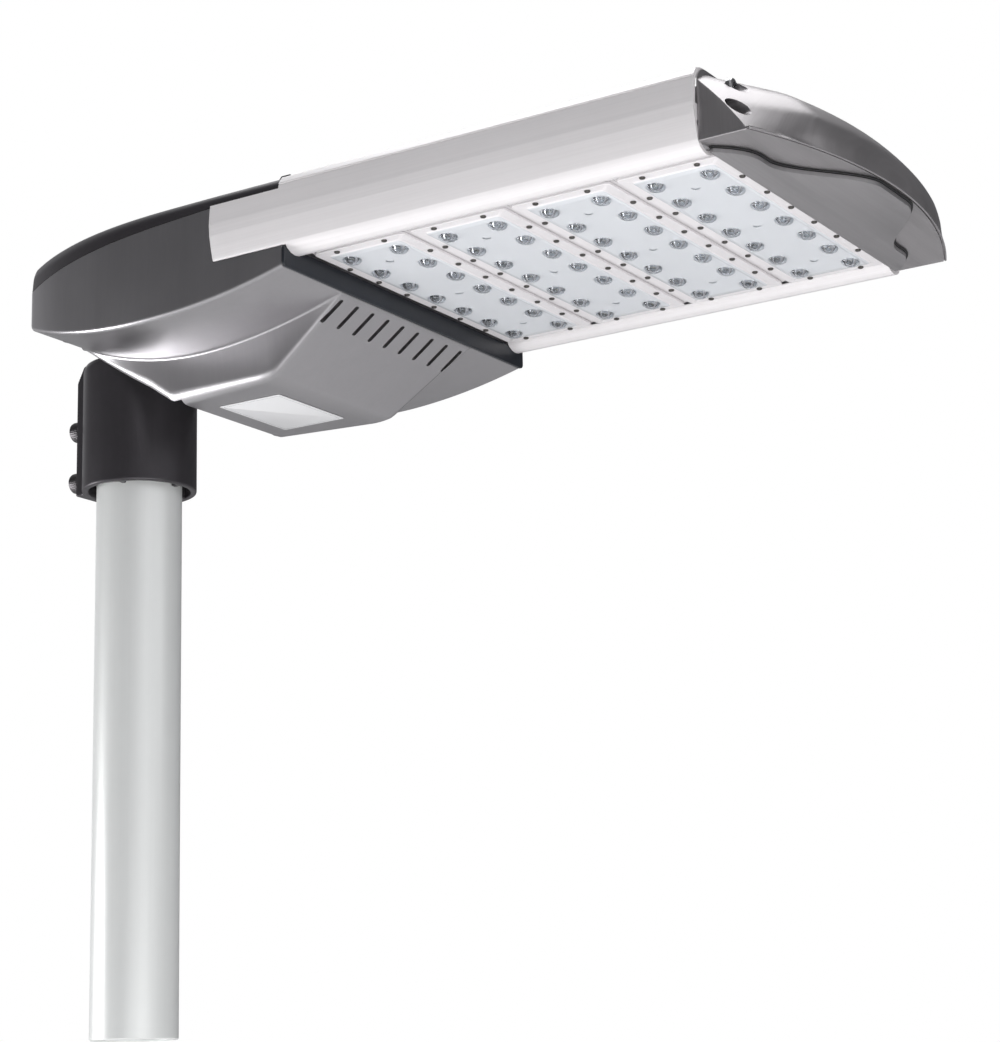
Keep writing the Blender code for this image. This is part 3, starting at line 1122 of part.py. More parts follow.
def make_label():
    """Bare foil plate under the keel."""
    outline = rounded_rectangle((LABEL_CENTRE_X, 0), (LABEL_LENGTH, LABEL_WIDTH), 1 * MM)
    face = KEEL_BOTTOM - GAP
    place(prism("rating_plate", [outline], "XY", face - LABEL_THICKNESS, face), LABEL_WHITE, HEAD_AXIS)


make_post()
make_collar()
make_clamp_bolts()
make_pivot_bolt()
make_lower_housing()
make_top_cover()
make_hinge_pins()
make_cover_seal()
make_side_rails()
make_heat_sink()
make_front_bar()
make_modules()
make_end_cap()
make_lower_plate()
make_tray()
make_electrics()
make_gland()
make_label()
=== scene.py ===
import math

import bmesh
import bpy
from mathutils import Matrix, Vector


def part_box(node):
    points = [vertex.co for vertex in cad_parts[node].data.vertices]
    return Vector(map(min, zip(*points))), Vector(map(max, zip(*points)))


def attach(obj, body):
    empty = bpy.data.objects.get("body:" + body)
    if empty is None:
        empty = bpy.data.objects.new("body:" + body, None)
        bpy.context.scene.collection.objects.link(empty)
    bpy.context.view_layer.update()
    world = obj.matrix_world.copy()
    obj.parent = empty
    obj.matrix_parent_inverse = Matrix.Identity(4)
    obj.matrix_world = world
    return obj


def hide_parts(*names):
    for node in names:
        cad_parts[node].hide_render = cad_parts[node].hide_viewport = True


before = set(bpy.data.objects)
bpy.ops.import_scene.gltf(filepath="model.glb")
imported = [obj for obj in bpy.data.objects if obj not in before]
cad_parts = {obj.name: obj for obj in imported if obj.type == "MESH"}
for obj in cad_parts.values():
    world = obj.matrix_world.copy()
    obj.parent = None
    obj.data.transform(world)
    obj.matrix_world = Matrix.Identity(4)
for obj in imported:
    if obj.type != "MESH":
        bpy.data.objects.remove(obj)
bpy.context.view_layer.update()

mm = 0.001

# ================================================================ studio
# A pale floor under the lamp, soft white surroundings with two dim sides for the castings to
# mirror, and a low camera that looks up at the lens field from the lamp's front right.

CAMERA_PLACE = (1.147571, -1.339806, -0.0547)
CAMERA_RIGHT = Vector((0.8428, 0.53775, -0.0227))
CAMERA_UP = Vector((0.14165, -0.18091, 0.97325))
CAMERA_BACK = Vector((0.51926, -0.82346, -0.22864))
CAMERA_LENS = 87.34
FLOOR_DROP = 0.55
FLOOR_REACH = 30.0
DIM_SIDES = (-0.5, -0.86, 0.0), (0.35, 0.92, 0.0)     # ways to the room's dim sides


def set_up_camera():
    lens = bpy.data.cameras.new("studio_camera")
    lens.lens = CAMERA_LENS
    lens.sensor_width = 36.0
    lens.clip_start = 0.05
    lens.clip_end = 60.0
    camera = bpy.data.objects.new("studio_camera", lens)
    bpy.context.scene.collection.objects.link(camera)
    turn = Matrix((CAMERA_RIGHT, CAMERA_UP, CAMERA_BACK)).transposed().to_4x4()
    camera.matrix_world = Matrix.Translation(CAMERA_PLACE) @ turn
    bpy.context.scene.camera = camera


def add_light(name, place, aim, size, power, colour=(1.0, 1.0, 1.0)):
    lamp = bpy.data.lights.new(name, "AREA")
    lamp.shape = "RECTANGLE"
    lamp.size = size[0]
    lamp.size_y = size[1]
    lamp.energy = power
    lamp.color = colour
    light = bpy.data.objects.new(name, lamp)
    bpy.context.scene.collection.objects.link(light)
    light.location = place
    light.rotation_euler = (Vector(aim) - Vector(place)).to_track_quat("-Z", "Y").to_euler()
    return light


def paint_surroundings():
    """White room that the camera sees, with dim sides that only reflections and bounces meet."""
    world = bpy.data.worlds.new("studio_world")
    bpy.context.scene.world = world
    world.use_nodes = True
    nodes = world.node_tree.nodes
    link = world.node_tree.links.new
    nodes.clear()
    facing = nodes.new("ShaderNodeTexCoord")
    dim_side = nodes.new("ShaderNodeMath")
    dim_side.operation = "MAXIMUM"
    for i, way in enumerate(DIM_SIDES):
        nearness = nodes.new("ShaderNodeVectorMath")
        nearness.operation = "DOT_PRODUCT"
        nearness.inputs[1].default_value = way
        link(facing.outputs["Generated"], nearness.inputs[0])
        link(nearness.outputs["Value"], dim_side.inputs[i])
    ramp = nodes.new("ShaderNodeValToRGB")
    ramp.color_ramp.elements[0].position = 0.34
    ramp.color_ramp.elements[0].color = (0.95, 0.95, 0.97, 1.0)
    ramp.color_ramp.elements[1].position = 0.78
    ramp.color_ramp.elements[1].color = (0.10, 0.10, 0.105, 1.0)
    half = nodes.new("ShaderNodeMath")
    half.operation = "MULTIPLY_ADD"
    half.inputs[1].default_value = 0.5
    half.inputs[2].default_value = 0.5
    link(dim_side.outputs["Value"], half.inputs[0])
    link(half.outputs["Value"], ramp.inputs["Fac"])
    rays = nodes.new("ShaderNodeLightPath")
    room = nodes.new("ShaderNodeBackground")
    link(ramp.outputs["Color"], room.inputs["Color"])
    room.inputs["Strength"].default_value = 1.0
    seen = nodes.new("ShaderNodeBackground")
    seen.inputs["Color"].default_value = (1.0, 1.0, 1.0, 1.0)
    seen.inputs["Strength"].default_value = 1.0
    mix = nodes.new("ShaderNodeMixShader")
    link(rays.outputs["Is Camera Ray"], mix.inputs["Fac"])
    link(room.outputs["Background"], mix.inputs[1])
    link(seen.outputs["Background"], mix.inputs[2])
    output = nodes.new("ShaderNodeOutputWorld")
    link(mix.outputs["Shader"], output.inputs["Surface"])


def lay_floor():
    """Wide pale sheet; its underside lets light and sight through, so the lamp shows from below."""
    shape = bmesh.new()
    bmesh.ops.create_grid(shape, x_segments=2, y_segments=2, size=FLOOR_REACH)
    mesh = bpy.data.meshes.new("studio_floor")
    shape.to_mesh(mesh)
    shape.free()
    floor = bpy.data.objects.new("studio_floor", mesh)
    bpy.context.scene.collection.objects.link(floor)
    mesh.transform(Matrix.Translation((0.3, 0.0, -FLOOR_DROP)))
    paint = bpy.data.materials.new("floor_paint")
    paint.use_nodes = True
    nodes = paint.node_tree.nodes
    link = paint.node_tree.links.new
    coat = nodes["Principled BSDF"]
    coat.inputs["Base Color"].default_value = (0.93, 0.93, 0.93, 1.0)
    coat.inputs["Roughness"].default_value = 0.75
    side = nodes.new("ShaderNodeNewGeometry")
    clear = nodes.new("ShaderNodeBsdfTransparent")
    mix = nodes.new("ShaderNodeMixShader")
    link(side.outputs["Backfacing"], mix.inputs["Fac"])
    link(coat.outputs["BSDF"], mix.inputs[1])
    link(clear.outputs["BSDF"], mix.inputs[2])
    link(mix.outputs["Shader"], nodes["Material Output"].inputs["Surface"])
    mesh.materials.append(paint)


bpy.context.scene.view_settings.view_transform = "Standard"
set_up_camera()
paint_surroundings()
lay_floor()
add_light("overhead_softbox", (0.2, 0.3, 2.4), (0.3, 0.0, 0.4), (2.2, 1.8), 38)
add_light("left_softbox", (-1.6, -0.8, -0.1), (0.0, 0.0, 0.15), (0.8, 0.7), 20)
add_light("low_front_fill", (0.9, -0.6, -0.5), (0.35, 0.0, 0.5), (1.4, 0.9), 17)
add_light("nose_softbox", (2.2, 0.4, 1.0), (0.55, 0.0, 0.5), (0.7, 1.0), 2)

# ================================================================ post
# The top section of the lamp post: a welded steel tube, 60.3 mm across, with a satin silver
# coat. Its lower end is a sawn ring, where the rest of the post goes on.

POST_LOW, POST_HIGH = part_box("post_tube")
LENS_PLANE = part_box("lens_plate_1")[0].z + 1.5 * mm     # every height below is above this plane
POST_RADIUS = (POST_HIGH.x - POST_LOW.x) / 2
POST_TOP = POST_HIGH.z - LENS_PLANE
POST_WALL = 3.6 * mm
POST_CHAMFER = 0.8 * mm


def new_piece(name, mesh):
    thing = bpy.data.objects.new(name, mesh)
    bpy.context.scene.collection.objects.link(thing)
    return thing


def skin(name, rings, capped=True, wrapped=False):
    """A surface through rings of equally many points; wrapped joins the last ring to the first."""
    shape = bmesh.new()
    rows = [[shape.verts.new(point) for point in ring] for ring in rings]
    pairs = list(zip(rows, rows[1:]))
    if wrapped:
        pairs.append((rows[-1], rows[0]))
    count = len(rings[0])
    for near, far in pairs:
        for i in range(count):
            j = (i + 1) % count
            shape.faces.new((near[i], near[j], far[j], far[i]))
    if capped and not wrapped:
        shape.faces.new(rows[0])
        shape.faces.new(list(reversed(rows[-1])))
    bmesh.ops.remove_doubles(shape, verts=shape.verts, dist=1e-7)
    bmesh.ops.recalc_face_normals(shape, faces=shape.faces)
    mesh = bpy.data.meshes.new(name)
    shape.to_mesh(mesh)
    shape.free()
    return new_piece(name, mesh)


def turned(name, profile, start, end, segments=96, wrapped=False):
    """A round piece on the line from start to end; its profile holds (distance, radius) pairs."""
    line = (Vector(end) - Vector(start)).normalized()
    turn = line.to_track_quat("Z", "Y").to_matrix()
    rings = []
    for along, radius in profile:
        ring = []
        for i in range(segments):
            angle = math.tau * i / segments
            spot = Vector((radius * math.cos(angle), radius * math.sin(angle), along))
            ring.append(Vector(start) + turn @ spot)
        rings.append(ring)
    return skin(name, rings, True, wrapped)


def rod(name, radius, length, start, end, segments=96):
    """A round bar of one thickness, from start towards end."""
    return turned(name, [(0, radius), (length, radius)], start, end, segments)


def settle(thing):
    """Turn the modifiers of a piece into plain mesh."""
    graph = bpy.context.evaluated_depsgraph_get()
    mesh = bpy.data.meshes.new_from_object(thing.evaluated_get(graph))
    thing.modifiers.clear()
    thing.data = mesh
    return thing


def fit(thing, paint, body, slot_name, *nodes):
    """Lift a finished shape to the lens plane, coat it, hang it on its body and hide the CAD nodes it stands
    for.
    """
    mesh = thing.data
    mesh.transform(Matrix.Translation((0.0, 0.0, LENS_PLANE)))
    if paint is not None:
        mesh.materials.clear()
        mesh.materials.append(paint)
    mesh.shade_smooth()
    mesh.set_sharp_from_angle(angle=math.radians(33))
    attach(thing, body)
    if nodes:
        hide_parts(*nodes)
    return thing


def new_group(name, inputs, outputs):
    """A shader node group with the sockets named, and the two ends of it."""
    group = bpy.data.node_groups.new(name, "ShaderNodeTree")
    for label, kind, value in inputs:
        socket = group.interface.new_socket(label, in_out="INPUT", socket_type=kind)
        socket.default_value = value
    for label, kind in outputs:
        group.interface.new_socket(label, in_out="OUTPUT", socket_type=kind)
    return group, group.nodes.new("NodeGroupInput"), group.nodes.new("NodeGroupOutput")


def noise(nodes, link, vector, scale, detail=3.0, roughness=0.55):
    field = nodes.new("ShaderNodeTexNoise")
    field.inputs["Detail"].default_value = detail
    field.inputs["Roughness"].default_value = roughness
    if isinstance(scale, float):
        field.inputs["Scale"].default_value = scale
    else:
        link(scale, field.inputs["Scale"])
    link(vector, field.inputs["Vector"])
    return field.outputs["Fac"]


def sums(nodes, link, operation, first, second):
    """One Math node; either side may be a socket or a number."""
    step = nodes.new("ShaderNodeMath")
    step.operation = operation
    for side, value in enumerate((first, second)):
        if isinstance(value, (int, float)):
            step.inputs[side].default_value = value
        else:
            link(value, step.inputs[side])
    return step.outputs["Value"]


def vectors(nodes, link, operation, first, second):
    """One Vector Math node; the first side may be a socket or three numbers."""
    step = nodes.new("ShaderNodeVectorMath")
    step.operation = operation
    if isinstance(first, tuple):
        step.inputs[0].default_value = first
    else:
        link(first, step.inputs[0])
    link(second, step.inputs["Scale" if operation == "SCALE" else 1])
    return step.outputs["Vector"]


def make_grain_group():
    """Fine cast or sprayed grain with broad patches: tone, gloss and bump height in one."""
    group, inlet, outlet = new_group(
        "metal_grain",
        [("Grain Scale", "NodeSocketFloat", 900.0), ("Patch Scale", "NodeSocketFloat", 9.0),
         ("Grain Share", "NodeSocketFloat", 0.6)],
        [("Height", "NodeSocketFloat"), ("Patches", "NodeSocketFloat"), ("Specks", "NodeSocketFloat")])
    nodes, link = group.nodes, group.links.new
    place = nodes.new("ShaderNodeTexCoord").outputs["Object"]
    fine = noise(nodes, link, place, inlet.outputs["Grain Scale"], 4.0, 0.65)
    broad = noise(nodes, link, place, inlet.outputs["Patch Scale"], 5.0, 0.6)
    coarse_scale = sums(nodes, link, "MULTIPLY", inlet.outputs["Grain Scale"], 0.22)
    coarse = noise(nodes, link, place, coarse_scale, 3.0)
    share = inlet.outputs["Grain Share"]
    rest = sums(nodes, link, "SUBTRACT", 1.0, share)
    height = sums(nodes, link, "ADD", sums(nodes, link, "MULTIPLY", fine, share),
                  sums(nodes, link, "MULTIPLY", coarse, rest))
    link(height, outlet.inputs["Height"])
    link(broad, outlet.inputs["Patches"])
    specks = nodes.new("ShaderNodeMapRange")
    specks.inputs["From Min"].default_value = 0.66
    specks.inputs["From Max"].default_value = 0.74
    link(coarse, specks.inputs["Value"])
    link(specks.outputs["Result"], outlet.inputs["Specks"])
    return group


def make_brush_group():
    """Fine parallel lines of brushing or drawing, along the longest way of Stretch."""
    group, inlet, outlet = new_group(
        "brushed_lines",
        [("Stretch", "NodeSocketVector", (8.0, 900.0, 900.0)), ("Waver", "NodeSocketFloat", 0.0)],
        [("Lines", "NodeSocketFloat"), ("Bands", "NodeSocketFloat")])
    nodes, link = group.nodes, group.links.new
    place = nodes.new("ShaderNodeTexCoord").outputs["Object"]
    drift = noise(nodes, link, place, 14.0, 2.0)
    reach = sums(nodes, link, "MULTIPLY", drift, inlet.outputs["Waver"])
    shift = vectors(nodes, link, "SCALE", (0.01, 0.01, 0.01), reach)
    moved = vectors(nodes, link, "ADD", place, shift)
    long_way = vectors(nodes, link, "MULTIPLY", moved, inlet.outputs["Stretch"])
    lines = noise(nodes, link, long_way, 1.0, 3.0, 0.7)
    bands = noise(nodes, link, long_way, 0.12, 2.0, 0.6)
    link(lines, outlet.inputs["Lines"])
    link(bands, outlet.inputs["Bands"])
    return group


GRAIN = make_grain_group()
BRUSH = make_brush_group()


def metal_coat(name, colour, roughness, metallic, grain=900.0, depth=0.05, patch=0.10, gloss_patch=0.10,
               stretch=None, line_tone=0.0, line_depth=0.0, waver=0.0, specks=0.0, coat=0.0):
    """Painted, cast or brushed metal: grain, patches and, where stretch is given, brushed lines."""
    material = bpy.data.materials.new(name)
    material.use_nodes = True
    nodes = material.node_tree.nodes
    link = material.node_tree.links.new
    shader = nodes["Principled BSDF"]
    shader.inputs["Metallic"].default_value = metallic
    shader.inputs["Coat Weight"].default_value = coat
    shader.inputs["Coat Roughness"].default_value = 0.2
    surface = nodes.new("ShaderNodeGroup")
    surface.node_tree = GRAIN
    surface.inputs["Grain Scale"].default_value = grain
    surface.inputs["Patch Scale"].default_value = 9.0
    tone = sums(nodes, link, "MULTIPLY_ADD", surface.outputs["Patches"], 2 * patch)
    tone.node.inputs[2].default_value = 1.0 - patch
    gloss = sums(nodes, link, "MULTIPLY_ADD", surface.outputs["Patches"], 2 * gloss_patch)
    gloss.node.inputs[2].default_value = roughness - gloss_patch
    height = sums(nodes, link, "MULTIPLY", surface.outputs["Height"], depth)
    if stretch is not None:
        brush = nodes.new("ShaderNodeGroup")
        brush.node_tree = BRUSH
        brush.inputs["Stretch"].default_value = stretch
        brush.inputs["Waver"].default_value = waver
        streaks = sums(nodes, link, "ADD", brush.outputs["Lines"], brush.outputs["Bands"])
        centred = sums(nodes, link, "SUBTRACT", streaks, 1.0)
        tone = sums(nodes, link, "ADD", tone, sums(nodes, link, "MULTIPLY", centred, line_tone))
        gloss = sums(nodes, link, "ADD", gloss, sums(nodes, link, "MULTIPLY", centred, line_tone * 0.5))
        height = sums(nodes, link, "ADD", height,
                      sums(nodes, link, "MULTIPLY", brush.outputs["Lines"], line_depth))
    if specks:
        tone = sums(nodes, link, "SUBTRACT", tone,
                    sums(nodes, link, "MULTIPLY", surface.outputs["Specks"], specks))
    link(vectors(nodes, link, "SCALE", colour, tone), shader.inputs["Base Color"])
    link(gloss, shader.inputs["Roughness"])
    bump = nodes.new("ShaderNodeBump")
    bump.inputs["Strength"].default_value = 1.0
    bump.inputs["Distance"].default_value = 1.0 * mm
    link(height, bump.inputs["Height"])
    link(bump.outputs["Normal"], shader.inputs["Normal"])
    return material


POST_COAT = metal_coat("post_silver_coat", (0.88, 0.895, 0.885), 0.34, 0.3, grain=1400.0, depth=0.02,
                       patch=0.03, gloss_patch=0.03, stretch=(700.0, 700.0, 6.0), line_tone=0.05,
                       line_depth=0.01)


def make_post():
    low = -LENS_PLANE
    inner = POST_RADIUS - POST_WALL
    chamfer = POST_CHAMFER
    profile = [(0.0, inner + chamfer), (0.0, POST_RADIUS - chamfer), (chamfer, POST_RADIUS)]
    profile += [(POST_TOP - low - chamfer, POST_RADIUS), (POST_TOP - low, POST_RADIUS - chamfer),
                (POST_TOP - low, inner + chamfer), (POST_TOP - low - chamfer, inner), (chamfer, inner)]
    post = turned("post", profile, (0, 0, low), (0, 0, POST_TOP), 128, wrapped=True)
    fit(post, POST_COAT, "post", "post_metal", "post_tube")


make_post()

# ================================================================ clamp collar
# The collar is one graphite-coated aluminium casting: a thick cup over the post's top, with a
# flat pad for the clamp bolts, three centring ribs and the drum that the head tilts on.

COLLAR_LOW, COLLAR_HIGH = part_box("spigot_collar")
COLLAR_RADIUS = 40.5 * mm
COLLAR_BORE = 36.0 * mm
COLLAR_BOTTOM = COLLAR_LOW.z - LENS_PLANE
COLLAR_ROOF = -10.0 * mm
PAD_FACE = -COLLAR_LOW.x
PAD_HALF_WIDTH = 19.5 * mm
PAD_TOP = -9.0 * mm
PIVOT = Vector((16.0 * mm, 0.0, 18.0 * mm))
DRUM_RADIUS = 18.0 * mm
DRUM_HALF_LENGTH = 43.0 * mm
BOLT_PLACES = [(y * mm, z * mm) for z in (-43.5, -81.5) for y in (-11.8, 11.8)]
BOLT_HOLE = 4.3 * mm
PIVOT_HOLE = 6.3 * mm
COLLAR_VOXEL = 0.8 * mm


def arc_corners(corners, steps=6):
    """Closed outline through corners (u, v, radius), each corner turned into a smooth bend."""
    outline = []
    count = len(corners)
    for i, (u, v, radius) in enumerate(corners):
        here = Vector((u, v))
        before = Vector(corners[i - 1][:2]) - here
        after = Vector(corners[(i + 1) % count][:2]) - here
        opening = before.angle(after)
        reach = radius / math.tan(opening / 2) if opening < math.pi - 0.001 else radius
        reach = min(reach, before.length * 0.49, after.length * 0.49)
        start = here + before.normalized() * reach
        end = here + after.normalized() * reach
        for step in range(steps + 1):
            t = step / steps
            outline.append(tuple(start * (1 - t) ** 2 + here * 2 * t * (1 - t) + end * t ** 2))
    return outline


def rounded(left, right, low, high, radius, steps=6):
    """Outline of a rectangle with four equal round corners."""
    return arc_corners([(left, low, radius), (right, low, radius), (right, high, radius),
                        (left, high, radius)], steps)


def extruded(name, outline, plane, low, high):
    """A flat outline in XY, XZ or YZ, made thick from low to high across its plane."""
    spread = {"XY": lambda u, v, w: (u, v, w), "XZ": lambda u, v, w: (u, w, v),
              "YZ": lambda u, v, w: (w, u, v)}[plane]
    return skin(name, [[spread(u, v, w) for u, v in outline] for w in (low, high)])


def block(name, x, y, z):
    return extruded(name, [(x[0], y[0]), (x[1], y[0]), (x[1], y[1]), (x[0], y[1])], "XY", *z)


def shape_with(thing, operation, *tools):
    """Cut, join or trim a piece with others, which are used up."""
    for tool in tools:
        step = thing.modifiers.new(tool.name, "BOOLEAN")
        step.solver = "EXACT"
        step.operation = operation
        step.object = tool
    settle(thing)
    for tool in tools:
        bpy.data.objects.remove(tool, do_unlink=True)
    return thing


def round_edges(thing, width, segments=2, angle=30.0):
    """Ease the sharp edges of a piece, as casting and deburring leave them."""
    step = thing.modifiers.new("eased_edges", "BEVEL")
    step.width = width
    step.segments = segments
    step.limit_method = "ANGLE"
    step.angle_limit = math.radians(angle)
    step.harden_normals = False
    return settle(thing)


def cast_over(thing, voxel, passes):
    """Remesh a piece evenly and smooth it, so that its inner corners get cast fillets."""
    remesh = thing.modifiers.new("even_skin", "REMESH")
    remesh.mode = "VOXEL"
    remesh.voxel_size = voxel
    smooth = thing.modifiers.new("cast_fillets", "SMOOTH")
    smooth.factor = 0.5
    smooth.iterations = passes
    return settle(thing)


GRAPHITE = metal_coat("graphite_coat", (0.060, 0.056, 0.062), 0.36, 0.55, grain=1300.0, depth=0.05,
                      patch=0.16, gloss_patch=0.07, stretch=(240.0, 240.0, 16.0), line_tone=0.10,
                      line_depth=0.02, waver=1.0)


def make_collar():
    body_profile = [(0.0, 39.6 * mm), (0.9 * mm, COLLAR_RADIUS), (-COLLAR_BOTTOM - 5 * mm, COLLAR_RADIUS),
                    (-COLLAR_BOTTOM - 1.5 * mm, 39.0 * mm), (-COLLAR_BOTTOM, 35.5 * mm)]
    collar = turned("clamp_collar", body_profile, (0, 0, COLLAR_BOTTOM), (0, 0, 0))
    pad_outline = arc_corners([(-PAD_FACE, COLLAR_BOTTOM, 0.8 * mm), (-25 * mm, COLLAR_BOTTOM, 0.1 * mm),
                               (-25 * mm, 2.5 * mm, 0.1 * mm), (-36.5 * mm, 2.5 * mm, 2 * mm),
                               (-PAD_FACE, PAD_TOP, 3 * mm)], 3)
    pad = extruded("pad", pad_outline, "XZ", -PAD_HALF_WIDTH, PAD_HALF_WIDTH)
    neck = block("neck", (PIVOT.x - DRUM_RADIUS + 0.5 * mm, PIVOT.x + DRUM_RADIUS - 0.5 * mm),
                 (-34 * mm, 34 * mm), (-6 * mm, PIVOT.z))
    neck_limit = rod("neck_limit", 40 * mm, 60 * mm, (0, 0, -8 * mm), (0, 0, 50 * mm))
    shape_with(neck, "INTERSECT", neck_limit)
    length = 2 * DRUM_HALF_LENGTH
    drum = turned("drum", [(0, DRUM_RADIUS - 1.2 * mm), (1.2 * mm, DRUM_RADIUS),
                           (length - 1.2 * mm, DRUM_RADIUS),
                           (length, DRUM_RADIUS - 1.2 * mm)],
                  PIVOT - Vector((0, DRUM_HALF_LENGTH, 0)), PIVOT + Vector((0, DRUM_HALF_LENGTH, 0)))
    shape_with(collar, "UNION", pad, neck, drum)
    bore = rod("bore", COLLAR_BORE, COLLAR_ROOF - COLLAR_BOTTOM + 5 * mm,
               (0, 0, COLLAR_BOTTOM - 5 * mm), (0, 0, 0))
    ribs = []
    for angle in (-70, 0, 70):
        rib = block("rib", (POST_RADIUS + 0.35 * mm, COLLAR_BORE + 1 * mm), (-2 * mm, 2 * mm),
                    (COLLAR_BOTTOM - 9 * mm, 0))
        rib.data.transform(Matrix.Rotation(math.radians(angle), 4, "Z"))
        ribs.append(rib)
    shape_with(bore, "DIFFERENCE", *ribs)
    shape_with(collar, "DIFFERENCE", bore)
    cast_over(collar, COLLAR_VOXEL, 3)
    holes = [rod("bolt_hole", BOLT_HOLE, 40 * mm, (-PAD_FACE - 5 * mm, y, z), (0, y, z), 24)
             for y, z in BOLT_PLACES]
    holes.append(rod("pivot_hole", PIVOT_HOLE, 100 * mm,
                     PIVOT - Vector((0, 50 * mm, 0)), PIVOT + Vector((0, 50 * mm, 0)), 32))
    holes.append(rod("cable_hole", 7 * mm, 30 * mm, (-21.6 * mm, 0, -20 * mm), (-21.6 * mm, 0, 10 * mm), 32))
    shape_with(collar, "DIFFERENCE", *holes)
    fit(collar, GRAPHITE, "post", "dark_casting", "spigot_collar")


make_collar()

# ================================================================ clamp bolts
# Four blackened cap-head bolts with knurled heads and hexagon sockets press on the post
# through the collar's pad.

BOLT_HEAD_HEIGHT = 8.0 * mm
BOLT_SHANK = 4.0 * mm
BOLT_SOCKET = 3.3 * mm
KNURLS = 36
SEAT_GAP = 0.3 * mm

BRIGHT_STEEL = metal_coat("bright_steel", (0.52, 0.52, 0.53), 0.27, 1.0, grain=1800.0, depth=0.02,
                          patch=0.08, gloss_patch=0.06)
BLACKENED_STEEL = metal_coat("blackened_steel", (0.085, 0.08, 0.085), 0.34, 0.9, grain=1800.0, depth=0.03,
                             patch=0.15, gloss_patch=0.08)


def new_tree(name, inputs):
    """A geometry node tree with named inputs and one geometry output."""
    tree = bpy.data.node_groups.new(name, "GeometryNodeTree")
    for label, kind, value in inputs:
        socket = tree.interface.new_socket(label, in_out="INPUT", socket_type=kind)
        if value is not None:
            socket.default_value = value
    tree.interface.new_socket("Geometry", in_out="OUTPUT", socket_type="NodeSocketGeometry")
    return tree, tree.nodes.new("NodeGroupInput"), tree.nodes.new("NodeGroupOutput")


def make_rows_tree():
    """Copies of one shape in even rows and columns about a centre, each turned a little by chance."""
    tree, inlet, outlet = new_tree("even_rows", [
        ("Shape", "NodeSocketObject", None), ("Columns", "NodeSocketInt", 2), ("Rows", "NodeSocketInt", 2),
        ("Column Step", "NodeSocketVector", (0.0, 0.01, 0.0)),
        ("Row Step", "NodeSocketVector", (0.01, 0.0, 0.0)),
        ("Centre", "NodeSocketVector", (0.0, 0.0, 0.0)), ("Turn Least", "NodeSocketVector", (0.0, 0.0, 0.0)),
        ("Turn Most", "NodeSocketVector", (0.0, 0.0, 0.0)), ("Seed", "NodeSocketInt", 4),
        ("Finish", "NodeSocketMaterial", None)])
    nodes, link = tree.nodes, tree.links.new
    count = sums(nodes, link, "MULTIPLY", inlet.outputs["Columns"], inlet.outputs["Rows"])
    index = nodes.new("GeometryNodeInputIndex").outputs["Index"]
    column = sums(nodes, link, "MODULO", index, inlet.outputs["Columns"])
    row = sums(nodes, link, "FLOOR", sums(nodes, link, "DIVIDE", index, inlet.outputs["Columns"]), 0.0)
    place = inlet.outputs["Centre"]
    for number, total, step_name in ((column, "Columns", "Column Step"), (row, "Rows", "Row Step")):
        middle = sums(nodes, link, "MULTIPLY", sums(nodes, link, "SUBTRACT", inlet.outputs[total], 1.0), 0.5)
        shift = vectors(nodes, link, "SCALE", inlet.outputs[step_name],
                        sums(nodes, link, "SUBTRACT", number, middle))
        moved = vectors(nodes, link, "ADD", place, shift)
        place = moved
    points = nodes.new("GeometryNodePoints")
    link(count, points.inputs["Count"])
    link(place, points.inputs["Position"])
    shape = nodes.new("GeometryNodeObjectInfo")
    link(inlet.outputs["Shape"], shape.inputs["Object"])
    chance = nodes.new("FunctionNodeRandomValue")
    chance.data_type = "FLOAT_VECTOR"
    link(inlet.outputs["Turn Least"], chance.inputs[0])
    link(inlet.outputs["Turn Most"], chance.inputs[1])
    link(inlet.outputs["Seed"], chance.inputs["Seed"])
    copies = nodes.new("GeometryNodeInstanceOnPoints")
    link(points.outputs["Points"], copies.inputs["Points"])
    link(shape.outputs["Geometry"], copies.inputs["Instance"])
    link(chance.outputs["Value"], copies.inputs["Rotation"])
    real = nodes.new("GeometryNodeRealizeInstances")
    link(copies.outputs["Instances"], real.inputs["Geometry"])
    coat = nodes.new("GeometryNodeSetMaterial")
    link(real.outputs["Geometry"], coat.inputs["Geometry"])
    link(inlet.outputs["Finish"], coat.inputs["Material"])
    link(coat.outputs["Geometry"], outlet.inputs["Geometry"])
    return tree


EVEN_ROWS = make_rows_tree()


def set_out(name, tree, **values):
    """Run a geometry tree on an empty mesh and keep what it makes as a plain piece."""
    thing = new_piece(name, bpy.data.meshes.new(name))
    step = thing.modifiers.new(tree.name, "NODES")
    step.node_group = tree
    for socket in tree.interface.items_tree:
        label = socket.name.replace(" ", "_").lower()
        if socket.in_out == "INPUT" and label in values:
            step[socket.identifier] = values.pop(label)
    thing.update_tag()
    bpy.context.view_layer.update()
    return settle(thing)


def drop(*things):
    for thing in things:
        bpy.data.objects.remove(thing, do_unlink=True)


